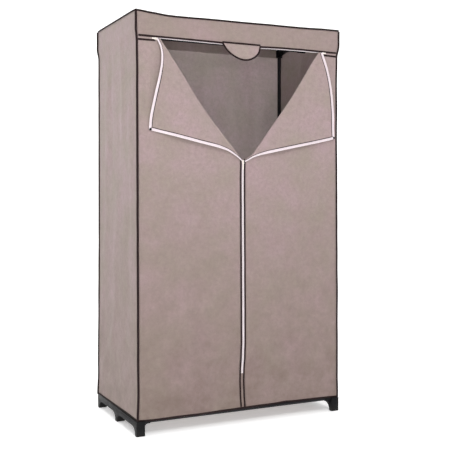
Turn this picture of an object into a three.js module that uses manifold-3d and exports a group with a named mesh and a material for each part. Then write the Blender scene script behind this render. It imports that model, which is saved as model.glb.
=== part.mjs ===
// Portable fabric wardrobe: a tube frame on two moulded base rails, inside a sewn cloth cover.
// Millimetres, +Z up, +X to the right of someone facing the front, the front at -Y.
// The origin is on the floor, in the middle of the footprint.
import * as THREE from 'three';
import { mergeVertices } from 'three/addons/utils/BufferGeometryUtils.js';
import Module from 'manifold-3d';

const wasm = await Module();
wasm.setup();

// Driving dimensions.
const width = 900;
const depth = 500;
const height = 1600;
const gap = 0.3;
const cutOverrun = 5;

// Cloth, bindings and how the cover stands off its frame.
const clothThick = 1.4;
const clothProud = 1.2;
const beadRadius = 3.6;
const bindingWidth = 7;
const bindingThick = 1;
const bandStep = 6.4;
const bandStepHeight = 65;
const valanceFootStep = clothThick + gap;
const hemFlare = 3;
const hemFlareHeight = 160;
const hemClearance = 0.8;
const topSag = 9;
const cornerPeakLength = 110;
const cornerPeakFlat = 32;

// Frame tubes.
const tubeRadius = 8;
const tubeWall = 1.2;
const socketWall = 2.5;
const spigotLength = 30;

// Moulded base rails.
const baseRailWidth = 33;
const baseRailTop = 57.5;
const archHeight = 33;
const footLength = 20;
const footFillet = 38;
const footToeRound = 3;
const middleFootLength = 22;
const baseTubeDrop = 4;
const baseArmLength = 25;
const baseSeat = 2;
const gussetRadius = 26;
const gussetThick = 8;

// Top corner connectors, rail connectors and the rail.
const cornerArmLength = 46;
const collarLength = 22;
const collarHalf = 11.5;
const postSocketDepth = 24;
const cornerCore = 14;
const cornerWebThick = 5;
const cornerWebReach = 40;
const railDrop = 26;
const railSleeveLength = 36;
const railSocketLength = 27;
const railSocketOffset = 8;
const railWebThick = 12;

// Zips, flaps, tab and studs.
const zipDrop = 102;
const topZipShare = 0.81333;
const zipTail = 5.7;
const zipFootHeight = 191;
const foldDropShare = 1.224;
const zipCoilGap = 1.3;
const zipCoilWidth = 1.9;
const zipCoilThick = 2.4;
const zipTapeWidth = 8.5;
const topTapeReach = 12;
const bindingSetback = 4.75;
const flapTapeWidth = 13;
const flapFoldOffset = 3.2;
const flapFoldClearance = 0.6;
const flapTopClearance = 6;
const flapCentreClearance = 5.5;
const flapEndSetback = 16;
const flapBelly = 5;
const valanceBindingRise = 8;
const doorTopBindingDrop = 7;
const tabHalfChord = 83;
const tabOffset = -8;
const tabDrop = 64;
const tabRollRadius = 1.6;
const studRadius = 5;
const studCapThick = 1.2;
const studPinRadius = 2;
const sliderLength = 14;
const sliderHalfWidth = 4.2;
const sliderPlateThick = 1.2;
const sliderPostHalf = 0.9;
const pullPinRadius = 0.5;
const pullEyeRadius = 1.3;
const pullEyeBore = 0.8;
const pullThick = 1;
const pullWidth = 5;
const pullLengthCentre = 26;
const pullLengthTop = 14;
const pullPinBack = 4.5;

// How the two flap corners hang: measured in the closed state from the centre line and below the zip.
const flapCorners = {
  left: { fromCentre: 22, belowZip: 38 },
  right: { fromCentre: 7.7, belowZip: 7.5 },
};

// Folds in the hanging cloth, and where they begin beside the posts.
const sideFoldDepth = 4;
const sideFoldCount = 3;
const backFoldDepth = 4;
const backFoldCount = 4;
const doorFoldDepth = 2.2;
const doorFoldCount = 2;
const foldLeanShare = 0.35;
const postShare = 0.06;

// Facets, and steps across and along the cloth.
const tubeSides = 12;
const smallSides = 12;
const pinSides = 8;
const beadSides = 6;
const curveSteps = 5;
const tabSteps = 16;
const sideSteps = 6;
const backSteps = 8;
const doorSteps = 7;
const plainSteps = 2;
const basePanelSteps = 4;
const flapSteps = 5;
const flapTopSteps = 4;
const panelRowShares = [0.05, 0.2, 0.35, 0.5, 0.65, 0.8, 0.9];
const doorRowShares = [0.16, 0.34, 0.5, 0.66, 0.82];
const foldRowShares = [0.35, 0.7];

// Derived places.
const bodyHalfX = width / 2 - beadRadius - bandStep;
const bodyHalfY = depth / 2 - beadRadius - bandStep;
const bandHalfX = bodyHalfX + bandStep;
const bandHalfY = bodyHalfY + bandStep;
const beadRoom = beadRadius + gap;
const topHalfX = bandHalfX - beadRoom;
const topHalfY = bandHalfY - beadRoom;
const doorFace = -(bodyHalfY + clothProud);
const doorMiddle = doorFace + clothThick / 2;
const postX = bodyHalfX + clothProud - clothThick - gap - tubeRadius;
const postY = bodyHalfY + clothProud - clothThick - gap - tubeRadius;
const socketRadius = tubeRadius + gap;
const armRadius = socketRadius + socketWall;
const hemHeight = baseRailTop + hemClearance;
const baseTubeHeight = baseRailTop - baseTubeDrop;
const baseArmTop = baseTubeHeight + armRadius;
const baseSocketDepth = baseArmLength + baseSeat;
const postSocketFloor = archHeight;
const tubeSplitHeight = height / 2;
const topBeadHeight = height - beadRadius;
const topClothInside = topBeadHeight + clothProud - clothThick - gap;
const topTubeHeight = topClothInside - topSag - armRadius;
const collarFoot = topTubeHeight - collarLength;
const postSocketTop = collarFoot + postSocketDepth;
const bandFootHeight = height - bandStepHeight;
const zipHeight = height - zipDrop;
const valanceBindingHeight = zipHeight + valanceBindingRise;
const doorTopBindingHeight = zipHeight - doorTopBindingDrop;
const topZipHalf = (width / 2) * topZipShare;
const topZipTapeHalf = topZipHalf + zipTail;
const foldFootHeight = zipHeight - topZipHalf * foldDropShare;
const sliderRestHeight = foldFootHeight - sliderLength / 2;
const valanceFoot = valanceBindingHeight - bindingWidth / 2;
const doorSeamSetback = bindingSetback + bindingWidth + gap;

const X = new THREE.Vector3(1, 0, 0);
const Y = new THREE.Vector3(0, 1, 0);
const Z = new THREE.Vector3(0, 0, 1);

const finishes = {
  cloth: { color: '#a59792', roughness: 0.95, metalness: 0 },
  binding: { color: '#3b2a28', roughness: 0.9, metalness: 0 },
  plastic: { color: '#1d1d1f', roughness: 0.5, metalness: 0 },
  tube: { color: '#17171a', roughness: 0.35, metalness: 0.2 },
  tape: { color: '#ece6e8', roughness: 0.85, metalness: 0 },
  slider: { color: '#efe8e2', roughness: 0.45, metalness: 0 },
  stud: { color: '#1b1a1b', roughness: 0.4, metalness: 0 },
};

const wardrobe = new THREE.Group();

function part(name, geometry, finish, parent = wardrobe) {
  const mesh = new THREE.Mesh(geometry, new THREE.MeshStandardMaterial(finishes[finish]));
  mesh.name = name;
  parent.add(mesh);
  return mesh;
}

// A closed surface from points and triangles, turned so that its faces point out.
function closedSurface(points, triangles) {
  let volume = 0;
  for (const [a, b, c] of triangles) {
    volume += points[a].dot(points[b].clone().cross(points[c]));
  }
  const facing = volume < 0 ? triangles.map(([a, b, c]) => [a, c, b]) : triangles;
  const places = points.flatMap((point) => point.toArray());
  const geometry = new THREE.BufferGeometry();
  geometry.setAttribute('position', new THREE.Float32BufferAttribute(places, 3));
  geometry.setIndex(facing.flat());
  geometry.computeVertexNormals();
  return geometry;
}

function welded(geometry) {
  const bare = geometry.clone();
  bare.deleteAttribute('normal');
  bare.deleteAttribute('uv');
  return mergeVertices(bare);
}

// The same geometry with its faces turned out, whichever way a change of axes left them.
function facingOut(geometry) {
  const merged = welded(geometry);
  const position = merged.getAttribute('position');
  const points = Array.from({ length: position.count }, (_, i) => (
    new THREE.Vector3().fromBufferAttribute(position, i)));
  const index = Array.from(merged.getIndex().array);
  const triangles = [];
  for (let i = 0; i < index.length; i += 3) triangles.push(index.slice(i, i + 3));
  return closedSurface(points, triangles);
}

function asSolid(geometry) {
  const merged = welded(geometry);
  const vertProperties = new Float32Array(merged.getAttribute('position').array);
  const triVerts = new Uint32Array(merged.getIndex().array);
  return new wasm.Manifold(new wasm.Mesh({ numProp: 3, vertProperties, triVerts }));
}

function asGeometry(manifold) {
  const mesh = manifold.getMesh();
  const places = Array.from(mesh.vertProperties);
  const geometry = new THREE.BufferGeometry();
  geometry.setAttribute('position', new THREE.Float32BufferAttribute(places, 3));
  geometry.setIndex(Array.from(mesh.triVerts));
  geometry.computeVertexNormals();
  return geometry;
}

// Turns a shape that is built along +Z from zero, so that it runs along another axis from a start.
function place(geometry, axis, start) {
  geometry.applyQuaternion(new THREE.Quaternion().setFromUnitVectors(Z, axis));
  return geometry.translate(start.x, start.y, start.z);
}

function at(x, y, z) {
  return new THREE.Vector3(x, y, z);
}

function rod(length, footRadius, endRadius, axis, start, sides = tubeSides) {
  const geometry = new THREE.CylinderGeometry(endRadius, footRadius, length, sides);
  geometry.rotateX(Math.PI / 2).translate(0, 0, length / 2);
  return asSolid(place(geometry, axis, start));
}

function block(low, high) {
  const size = high.clone().sub(low);
  const middle = high.clone().add(low).multiplyScalar(1 / 2);
  return asSolid(new THREE.BoxGeometry(size.x, size.y, size.z).translate(middle.x, middle.y, middle.z));
}

// A hollow turned piece: its half section goes round once and closes on itself.
function turned(section, axis, start) {
  const profile = [...section, section[0]].map(([r, z]) => new THREE.Vector2(r, z));
  const geometry = new THREE.LatheGeometry(profile, tubeSides).rotateX(Math.PI / 2);
  const solid = asSolid(geometry);
  return place(asGeometry(solid), axis, start);
}

function tube(length, axis, start) {
  const bore = tubeRadius - tubeWall;
  return turned([[bore, 0], [tubeRadius, 0], [tubeRadius, length], [bore, length]], axis, start);
}

// A skin between rings of points; open skins get flat ends.
function loft(rings, joined = false) {
  const count = rings[0].length;
  const points = rings.flat();
  const triangles = [];
  const last = joined ? rings.length : rings.length - 1;
  for (let r = 0; r < last; r += 1) {
    const here = r * count;
    const next = ((r + 1) % rings.length) * count;
    for (let i = 0; i < count; i += 1) {
      const j = (i + 1) % count;
      triangles.push([here + i, here + j, next + j], [here + i, next + j, next + i]);
    }
  }
  if (!joined) {
    const top = (rings.length - 1) * count;
    for (let i = 1; i < count - 1; i += 1) {
      triangles.push([0, i + 1, i], [top, top + i, top + i + 1]);
    }
  }
  return closedSurface(points, triangles);
}

// A sheet of cloth: a grid of points on its outer face, and the same grid one thickness behind.
function sheet(stationsU, stationsV, pointAt, behind) {
  const outer = stationsV.map((v) => stationsU.map((u) => pointAt(u, v)));
  const across = stationsU.length;
  const points = [...outer.flat(), ...outer.flat().map((p) => p.clone().add(behind))];
  const half = across * stationsV.length;
  const triangles = [];
  const quad = (a, b, c, d) => triangles.push([a, b, c], [a, c, d]);
  for (let v = 0; v < stationsV.length - 1; v += 1) {
    for (let u = 0; u < across - 1; u += 1) {
      const a = v * across + u;
      quad(a, a + 1, a + across + 1, a + across);
      quad(half + a, half + a + across, half + a + across + 1, half + a + 1);
    }
  }
  const rim = [];
  for (let u = 0; u < across; u += 1) rim.push(u);
  for (let v = 1; v < stationsV.length; v += 1) rim.push(v * across + across - 1);
  for (let u = across - 2; u >= 0; u -= 1) rim.push((stationsV.length - 1) * across + u);
  for (let v = stationsV.length - 2; v > 0; v -= 1) rim.push(v * across);
  rim.forEach((a, i) => {
    const b = rim[(i + 1) % rim.length];
    quad(a, half + a, half + b, b);
  });
  return closedSurface(points, triangles);
}

function spread(low, high, shares) {
  return shares.map((share) => low + (high - low) * share);
}

function evenShares(count) {
  return Array.from({ length: count + 1 }, (_, i) => i / count);
}

// Reads a table of [height, value] rows, straight between them.
function between(rows, z) {
  if (z <= rows[0][0]) return rows[0][1];
  for (let i = 1; i < rows.length; i += 1) {
    const [z0, v0] = rows[i - 1];
    const [z1, v1] = rows[i];
    if (z <= z1) return v0 + ((v1 - v0) * (z - z0)) / (z1 - z0);
  }
  return rows[rows.length - 1][1];
}

// How far the cover stands out beyond its body at a height: the hem flares over the base rails
// and the top band is pushed out by the corner connectors.
function proudAt(z) {
  return between([
    [hemHeight, hemFlare],
    [hemFlareHeight, 0],
    [doorTopBindingHeight, 0],
    [valanceFoot, valanceFootStep],
    [bandFootHeight, bandStep],
  ], z);
}

// The cloth of the top sinks between the corner connectors, which hold it up in four low peaks.
function sagAt(x, y) {
  const rise = (half, spot) => {
    const inFromEdge = half - Math.abs(spot) - cornerPeakFlat;
    return Math.min(1, Math.max(0, inFromEdge / cornerPeakLength));
  };
  const shareX = rise(bandHalfX, x);
  const shareY = rise(bandHalfY, y);
  return topSag * (1 - (1 - shareX) * (1 - shareY));
}

function ringOfBead(radius, sides) {
  return Array.from({ length: sides }, (_, i) => {
    const turn = ((i + 1 / 2) / sides) * 2 * Math.PI;
    return [radius * Math.cos(turn), radius * Math.sin(turn)];
  });
}

// Base rails: one moulding a side, with three feet, two arches, sockets for the two posts and
// an arm with a rounded gusset for each cross tube.
function archProfile() {
  const shape = new THREE.Shape();
  const half = depth / 2;
  const middle = middleFootLength / 2;
  const footEnd = footLength + footFillet - half;
  shape.moveTo(-half, baseRailTop);
  shape.lineTo(-half, footToeRound);
  shape.quadraticCurveTo(-half, 0, footToeRound - half, 0);
  shape.lineTo(footLength - half, 0);
  shape.quadraticCurveTo(footLength - half + footToeRound, archHeight, footEnd, archHeight);
  shape.lineTo(-middle - footFillet, archHeight);
  shape.quadraticCurveTo(-middle - footToeRound, archHeight, -middle, 0);
  shape.lineTo(middle, 0);
  shape.quadraticCurveTo(middle + footToeRound, archHeight, middle + footFillet, archHeight);
  shape.lineTo(half - footLength - footFillet, archHeight);
  shape.quadraticCurveTo(half - footLength - footToeRound, archHeight, half - footLength, 0);
  shape.lineTo(half - footToeRound, 0);
  shape.quadraticCurveTo(half, 0, half, footToeRound);
  shape.lineTo(half, baseRailTop);
  return shape;
}

function gussetProfile(radius) {
  const shape = new THREE.Shape();
  shape.moveTo(0, 0);
  shape.lineTo(0, -radius);
  shape.quadraticCurveTo(0, 0, radius, 0);
  return shape;
}

function extruded(shape, length) {
  return new THREE.ExtrudeGeometry(shape, { depth: length, bevelEnabled: false, curveSegments: curveSteps });
}

function baseRail(side) {
  // The profile's own x runs along the rail, so it is turned to lie along Y and extruded along X.
  const profile = extruded(archProfile(), baseRailWidth);
  profile.applyMatrix4(new THREE.Matrix4().makeBasis(Y, Z, X));
  const inner = width / 2 - baseRailWidth;
  profile.translate(side > 0 ? inner : -width / 2, 0, 0);
  let body = asSolid(profile);
  const inward = X.clone().multiplyScalar(-side);
  for (const end of [-1, 1]) {
    const y = end * postY;
    body = body.add(rod(baseArmLength + baseRailWidth / 2, armRadius, armRadius, inward,
      at(side * (inner + baseRailWidth / 2), y, baseTubeHeight)));
    const web = extruded(gussetProfile(gussetRadius), gussetThick);
    web.translate(0, 0, -gussetThick / 2);
    web.applyMatrix4(new THREE.Matrix4().makeBasis(X, Z, Y.clone().negate()));
    if (side > 0) web.rotateZ(Math.PI);
    web.translate(side * inner, y, baseTubeHeight - armRadius + socketWall);
    body = body.add(asSolid(web));
    body = body.subtract(rod(baseSocketDepth + cutOverrun, socketRadius, socketRadius, inward,
      at(side * (inner - baseArmLength + baseSocketDepth), y, baseTubeHeight)));
    body = body.subtract(rod(baseArmTop - postSocketFloor + cutOverrun, socketRadius, socketRadius, Z,
      at(side * postX, y, postSocketFloor)));
  }
  return asGeometry(body);
}

for (const [name, side] of [['left', -1], ['right', 1]]) {
  part(`base_rail_${name}`, baseRail(side), 'plastic');
}

// Cross tubes between the base rails.
const baseTubeHalf = width / 2 - baseRailWidth - baseArmLength + baseSocketDepth - gap;
for (const [name, end] of [['front', -1], ['rear', 1]]) {
  const start = at(-baseTubeHalf, end * postY, baseTubeHeight);
  part(`base_tube_${name}`, tube(2 * baseTubeHalf, X, start), 'tube');
}

// Posts: each is two tubes, the upper one with a drawn-down spigot that slips into the lower one.
function upperPost(x, y) {
  const bore = tubeRadius - tubeWall;
  const spigot = bore - gap;
  const length = postSocketTop - gap - tubeSplitHeight;
  return turned([
    [spigot - tubeWall, -spigotLength],
    [spigot, -spigotLength],
    [spigot, 0],
    [tubeRadius, 0],
    [tubeRadius, length],
    [bore, length],
    [bore, tubeWall],
    [spigot - tubeWall, tubeWall],
  ], Z, at(x, y, tubeSplitHeight));
}

const corners = [
  ['front_left', -1, -1], ['front_right', 1, -1], ['rear_left', -1, 1], ['rear_right', 1, 1],
];
for (const [name, sideX, sideY] of corners) {
  const foot = at(sideX * postX, sideY * postY, postSocketFloor + gap);
  part(`post_${name}_lower`, tube(tubeSplitHeight - gap - foot.z, Z, foot), 'tube');
  part(`post_${name}_upper`, upperPost(sideX * postX, sideY * postY), 'tube');
}

// Corner connectors: a square collar on the post, flared to the top, and two webbed arms that hold
// the top tubes.
function cornerConnector(sideX, sideY) {
  const flareRadius = bandHalfX + clothProud - clothThick - gap - postX;
  const crownRadius = bandHalfX - beadRoom - postX;
  const crownFoot = topBeadHeight - beadRoom;
  let body = block(at(-collarHalf, -collarHalf, collarFoot), at(collarHalf, collarHalf, topTubeHeight));
  body = body.add(rod(topTubeHeight - collarFoot, collarHalf, flareRadius, Z, at(0, 0, collarFoot)));
  body = body.add(rod(crownFoot - topTubeHeight, flareRadius, crownRadius, Z, at(0, 0, topTubeHeight)));
  body = body.add(rod(topClothInside - topTubeHeight, crownRadius, crownRadius, Z, at(0, 0, topTubeHeight)));
  for (const direction of [X.clone().multiplyScalar(-sideX), Y.clone().multiplyScalar(-sideY)]) {
    body = body.add(rod(cornerArmLength, armRadius, armRadius, direction, at(0, 0, topTubeHeight)));
    const web = new THREE.Shape();
    web.moveTo(0, topTubeHeight);
    web.lineTo(0, collarFoot);
    web.lineTo(collarHalf, collarFoot);
    web.lineTo(cornerWebReach, topTubeHeight - armRadius);
    web.lineTo(cornerWebReach, topTubeHeight);
    const across = direction.clone().cross(Z);
    const flat = extruded(web, cornerWebThick).translate(0, 0, -cornerWebThick / 2);
    body = body.add(asSolid(flat.applyMatrix4(new THREE.Matrix4().makeBasis(direction, Z, across))));
  }
  for (const direction of [X.clone().multiplyScalar(-sideX), Y.clone().multiplyScalar(-sideY)]) {
    body = body.subtract(rod(cornerArmLength, socketRadius, socketRadius, direction,
      direction.clone().multiplyScalar(cornerCore).setZ(topTubeHeight)));
  }
  body = body.subtract(rod(postSocketDepth + cutOverrun, socketRadius, socketRadius, Z,
    at(0, 0, collarFoot - cutOverrun)));
  return asGeometry(body).translate(sideX * postX, sideY * postY, 0);
}

for (const [name, sideX, sideY] of corners) {
  part(`corner_connector_${name}`, cornerConnector(sideX, sideY), 'plastic');
}

// Top tubes.
const topTubeHalfX = postX - cornerCore - gap;
const topTubeHalfY = postY - cornerCore - gap;
for (const [name, end] of [['front', -1], ['rear', 1]]) {
  part(`top_tube_${name}`, tube(2 * topTubeHalfX, X, at(-topTubeHalfX, end * postY, topTubeHeight)), 'tube');
}
for (const [name, side] of [['left', -1], ['right', 1]]) {
  part(`top_tube_${name}`, tube(2 * topTubeHalfY, Y, at(side * postX, -topTubeHalfY, topTubeHeight)), 'tube');
}

// Rail connectors: a sleeve on each side tube, and below it a socket for the hanging rail.
const railHeight = topTubeHeight - railDrop;
const railSocketEnd = postX - railSocketOffset;

function railConnector(side) {
  const half = railSleeveLength / 2;
  const inward = X.clone().multiplyScalar(-side);
  let body = rod(railSleeveLength, armRadius, armRadius, Y, at(side * postX, -half, topTubeHeight));
  const webEnds = [side * postX, side * (railSocketEnd - railSocketLength / 2)];
  body = body.add(block(at(Math.min(...webEnds), -railWebThick / 2, railHeight),
    at(Math.max(...webEnds), railWebThick / 2, topTubeHeight)));
  body = body.add(rod(railSocketLength + railSocketOffset, armRadius, armRadius, inward,
    at(side * postX, 0, railHeight)));
  body = body.subtract(rod(railSleeveLength + 2 * cutOverrun, socketRadius, socketRadius, Y,
    at(side * postX, -half - cutOverrun, topTubeHeight)));
  body = body.subtract(rod(railSocketLength + cutOverrun, socketRadius, socketRadius, inward,
    at(side * railSocketEnd, 0, railHeight)));
  return asGeometry(body);
}

for (const [name, side] of [['left', -1], ['right', 1]]) {
  part(`rail_connector_${name}`, railConnector(side), 'plastic');
}
const railHalf = railSocketEnd - gap;
part('hanging_rail', tube(2 * railHalf, X, at(-railHalf, 0, railHeight)), 'tube');

// Cloth panels. Folds are low waves that die out at the seams, the hem and the band.
function wave(share, riseShare, count, foldDepth) {
  const inside = Math.min(1, Math.max(0, (share - postShare) / (1 - 2 * postShare)));
  const edge = Math.sin(Math.PI * inside) ** (1 / 2);
  const drop = Math.sin(Math.PI * Math.min(1, Math.max(0, riseShare))) ** (1 / 2);
  return foldDepth * edge * drop * Math.sin(2 * Math.PI * (count * share + foldLeanShare * riseShare));
}

function riseShareOf(z) {
  return (z - hemHeight) / (bandFootHeight - hemHeight);
}

const panelRows = [
  hemHeight, hemFlareHeight,
  ...spread(hemFlareHeight, doorTopBindingHeight, panelRowShares),
  doorTopBindingHeight, valanceFoot, bandFootHeight, topBeadHeight,
];

// Rows above the band follow the sagging top edge.
function rowHeight(z, x, y) {
  return z < topBeadHeight ? z : z - beadRoom - sagAt(x, y);
}

// Shares across a panel, with stations where each corner peak starts and ends.
function peakShares(limit, half, middleSteps) {
  const flat = (limit - half + cornerPeakFlat) / (2 * limit);
  const foot = flat + cornerPeakLength / (2 * limit);
  const middle = spread(foot, 1 - foot, evenShares(middleSteps));
  return [0, flat, (flat + foot) / 2, ...middle, 1 - (flat + foot) / 2, 1 - flat, 1];
}

function sidePanel(side) {
  return sheet(peakShares(topHalfY, bandHalfY, sideSteps), panelRows, (share, z) => {
    const half = bodyHalfY + proudAt(z) - beadRoom;
    const y = -half + 2 * half * share;
    const fold = wave(share, riseShareOf(z), sideFoldCount, sideFoldDepth);
    const out = bodyHalfX + clothProud + proudAt(z) + fold;
    return at(side * out, y, rowHeight(z, bandHalfX, y));
  }, at(-side * clothThick, 0, 0));
}

function backPanel() {
  return sheet(peakShares(topHalfX, bandHalfX, backSteps), panelRows, (share, z) => {
    const half = bodyHalfX + proudAt(z) - beadRoom;
    const x = -half + 2 * half * share;
    const fold = wave(share, riseShareOf(z), backFoldCount, backFoldDepth);
    const out = bodyHalfY + clothProud + proudAt(z) + fold;
    return at(x, out, rowHeight(z, x, bandHalfY));
  }, at(0, -clothThick, 0));
}

part('cover_side_left', sidePanel(-1), 'cloth');
part('cover_side_right', sidePanel(1), 'cloth');
part('cover_back', backPanel(), 'cloth');

// Top panel, inside the ring of the top binding.
part('cover_top', sheet(spread(-topHalfX, topHalfX, peakShares(topHalfX, bandHalfX, plainSteps)),
  spread(-topHalfY, topHalfY, peakShares(topHalfY, bandHalfY, plainSteps)),
  (x, y) => at(x, y, topBeadHeight + clothProud - sagAt(x, y)), at(0, 0, -clothThick)), 'cloth');

// Base panel, carried by the two cross tubes.
const basePanelHalfX = width / 2 - baseRailWidth - baseArmLength - gap;
const basePanelHalfY = postY + tubeRadius;
part('base_panel', sheet(spread(-basePanelHalfX, basePanelHalfX, evenShares(basePanelSteps)),
  spread(-basePanelHalfY, basePanelHalfY, evenShares(plainSteps)),
  (x, y) => at(x, y, baseTubeHeight + tubeRadius + gap + clothThick), at(0, 0, -clothThick)), 'cloth');

// Valance: the front of the top band.
const valanceRows = [valanceFoot + gap, bandFootHeight, topBeadHeight];
part('valance', sheet(peakShares(topHalfX, bandHalfX, plainSteps), valanceRows, (share, z) => {
  const half = bodyHalfX + proudAt(z) - beadRoom;
  const x = -half + 2 * half * share;
  return at(x, doorFace - proudAt(z), rowHeight(z, x, bandHalfY));
}, at(0, clothThick, 0)), 'cloth');

// The line that each flap folds on, from the end of the top zip down to the centre zip.
const foldTop = new THREE.Vector2(topZipHalf, zipHeight);
const foldFoot = new THREE.Vector2(0, foldFootHeight);
const foldAlong = foldFoot.clone().sub(foldTop).normalize();
const foldAcross = new THREE.Vector2(foldAlong.y, -foldAlong.x);
const foldLength = foldFoot.distanceTo(foldTop);

function foldLineAt(z) {
  return ((z - foldFootHeight) / (zipHeight - foldFootHeight)) * topZipHalf;
}

// Doors: each runs from the corner bead to the centre zip, and above it to the fold line. The left
// one carries the cloth below the zip's foot, and both reach up beside the ends of the top zip.
const doorStepHeight = gap;
const sliderTop = zipHeight - sliderHalfWidth;
const doorEndSetback = topZipTapeHalf + bindingThick;

function doorInner(side, z) {
  if (z < zipFootHeight) return side < 0 ? -(doorSeamSetback - gap) : doorSeamSetback;
  if (z >= sliderTop - gap) return doorEndSetback;
  return Math.max(doorSeamSetback, foldLineAt(z) + flapFoldClearance);
}

const foldStart = foldFootHeight + (doorSeamSetback / topZipHalf) * (zipHeight - foldFootHeight);
const doorRows = [
  hemHeight, hemFlareHeight, zipFootHeight - doorStepHeight, zipFootHeight,
  ...spread(zipFootHeight, foldStart, doorRowShares), foldStart,
  ...spread(foldStart, doorTopBindingHeight, foldRowShares), doorTopBindingHeight,
  sliderTop - 2 * gap, sliderTop - gap, valanceFoot,
];

function door(side) {
  const shares = [0, ...spread(postShare, 1, evenShares(doorSteps))];
  return sheet(shares, doorRows, (share, z) => {
    const outer = bodyHalfX + proudAt(z) - beadRoom;
    const inner = doorInner(side, z);
    const x = outer + (inner - outer) * share;
    const fold = wave(share, riseShareOf(z), doorFoldCount, doorFoldDepth);
    return at(side * x, doorFace - proudAt(z) - Math.min(0, fold), z);
  }, at(0, clothThick, 0));
}

part('door_left', door(-1), 'cloth');
part('door_right', door(1), 'cloth');

// Edge bindings: a bead down each corner seam, a ring round the top and a strip round the hem.
for (const [name, sideX, sideY] of corners) {
  const rings = panelRows.map((z) => {
    const top = z < topBeadHeight ? z : z - beadRoom;
    return ringOfBead(beadRadius, beadSides).map(([a, b]) => at(
      sideX * (bodyHalfX + proudAt(z) + a), sideY * (bodyHalfY + proudAt(z) + b), top));
  });
  part(`edge_binding_${name}`, loft(rings), 'binding');
}

// Stations round a rectangle, each with its place and the way out from the middle.
function roundTheCover(halfX, halfY, sharesX, sharesY) {
  const stations = [];
  const alongX = spread(-halfX, halfX, sharesX);
  const alongY = spread(-halfY, halfY, sharesY);
  alongX.forEach((x, i) => {
    const corner = i === 0 || i === alongX.length - 1;
    stations.push([x, -halfY, corner ? Math.sign(x) : 0, -1]);
  });
  alongY.slice(1, -1).forEach((y) => stations.push([halfX, y, 1, 0]));
  alongX.slice().reverse().forEach((x, i) => {
    const corner = i === 0 || i === alongX.length - 1;
    stations.push([x, halfY, corner ? Math.sign(x) : 0, 1]);
  });
  alongY.slice(1, -1).reverse().forEach((y) => stations.push([-halfX, y, -1, 0]));
  return stations;
}

const topRing = roundTheCover(bandHalfX, bandHalfY,
  peakShares(bandHalfX, bandHalfX, plainSteps), peakShares(bandHalfY, bandHalfY, plainSteps));
part('top_binding', loft(topRing.map(([x, y, outX, outY]) => ringOfBead(beadRadius, beadSides)
  .map(([a, b]) => at(x + outX * a, y + outY * a, topBeadHeight - sagAt(x, y) + b))), true), 'binding');

const hemInside = proudAt(hemHeight) + beadRoom;
const hemRing = roundTheCover(bodyHalfX, bodyHalfY, evenShares(plainSteps), evenShares(plainSteps));
part('hem_binding', loft(hemRing.map(([x, y, outX, outY]) => [
  [hemInside, 0], [hemInside + bindingThick, 0],
  [hemInside + bindingThick, bindingWidth], [hemInside, bindingWidth],
].map(([out, up]) => at(x + outX * out, y + outY * out, hemHeight + up))), true), 'binding');

// Flat bindings stitched on the front.
function flatBinding(x0, x1, foot, top) {
  const ring = (x) => [
    [foot, gap], [foot, gap + bindingThick], [top, gap + bindingThick], [top, gap],
  ].map(([z, out]) => at(x, doorFace - proudAt(z) - out, z));
  return loft([ring(x0), ring(x1)]);
}

const halfBinding = bindingWidth / 2;
const flatBindingHalf = bodyHalfX - beadRoom;
part('valance_binding', flatBinding(-flatBindingHalf, flatBindingHalf,
  valanceBindingHeight - halfBinding, valanceBindingHeight + halfBinding), 'binding');
for (const [name, side] of [['left', -1], ['right', 1]]) {
  part(`door_top_binding_${name}`, flatBinding(side * flatBindingHalf, side * (doorEndSetback + gap),
    doorTopBindingHeight - halfBinding, doorTopBindingHeight + halfBinding), 'binding');
  const low = side * bindingSetback;
  const high = side * (bindingSetback + bindingWidth);
  const top = foldFootHeight + bindingSetback;
  const rows = [hemHeight + bindingWidth + gap, hemFlareHeight, top].map((z) => [
    [low, gap], [high, gap], [high, gap + bindingThick], [low, gap + bindingThick],
  ].map(([x, out]) => at(x, doorFace - proudAt(z) - out, z)));
  part(`centre_binding_${name}`, loft(rows), 'binding');
}

// Zip tapes: a thin woven tape with a coil along one edge. Heights and widths are from the zip's
// centre line; the section is drawn once and set along X or Z.
function tapeSection(reach) {
  const tapeHalf = clothThick / 2;
  const coilHalf = zipCoilThick / 2;
  const coilEnd = zipCoilGap + zipCoilWidth;
  return [
    [zipCoilGap, -coilHalf], [coilEnd, -coilHalf], [coilEnd, -tapeHalf], [reach, -tapeHalf],
    [reach, tapeHalf], [coilEnd, tapeHalf], [coilEnd, coilHalf], [zipCoilGap, coilHalf],
  ];
}

function zipTape(reach, length, across, along, start) {
  const shape = new THREE.Shape(tapeSection(reach).map(([a, b]) => new THREE.Vector2(a, b)));
  const geometry = extruded(shape, length);
  const through = along.clone().cross(across);
  geometry.applyMatrix4(new THREE.Matrix4().makeBasis(across, through, along));
  return geometry.translate(start.x, start.y, start.z);
}

part('zip_tape_top', zipTape(topTapeReach, 2 * topZipTapeHalf, Z, X,
  at(-topZipTapeHalf, doorMiddle, zipHeight)), 'tape');
const centreTapeReach = zipCoilGap + zipCoilWidth + zipTapeWidth;
for (const [name, side] of [['left', -1], ['right', 1]]) {
  part(`zip_tape_centre_${name}`, zipTape(centreTapeReach, foldFootHeight - zipFootHeight - gap,
    X.clone().multiplyScalar(side), Z, at(0, doorMiddle, zipFootHeight + gap)), 'tape');
}

// Flaps: the free top corners of the doors. Each is drawn closed, in the plane of the doors, and
// then folded out round its fold line. Places in a flap are along and across that line.
function flapOutline(corner) {
  const toFold = (x, z) => {
    const from = new THREE.Vector2(x, z).sub(foldTop);
    return new THREE.Vector2(from.dot(foldAlong), from.dot(foldAcross));
  };
  return {
    start: toFold(topZipHalf - flapEndSetback, zipHeight - flapTopClearance),
    tip: toFold(corner.fromCentre, zipHeight - corner.belowZip),
    foot: toFold(flapCentreClearance, foldFootHeight + flapEndSetback),
  };
}

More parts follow.
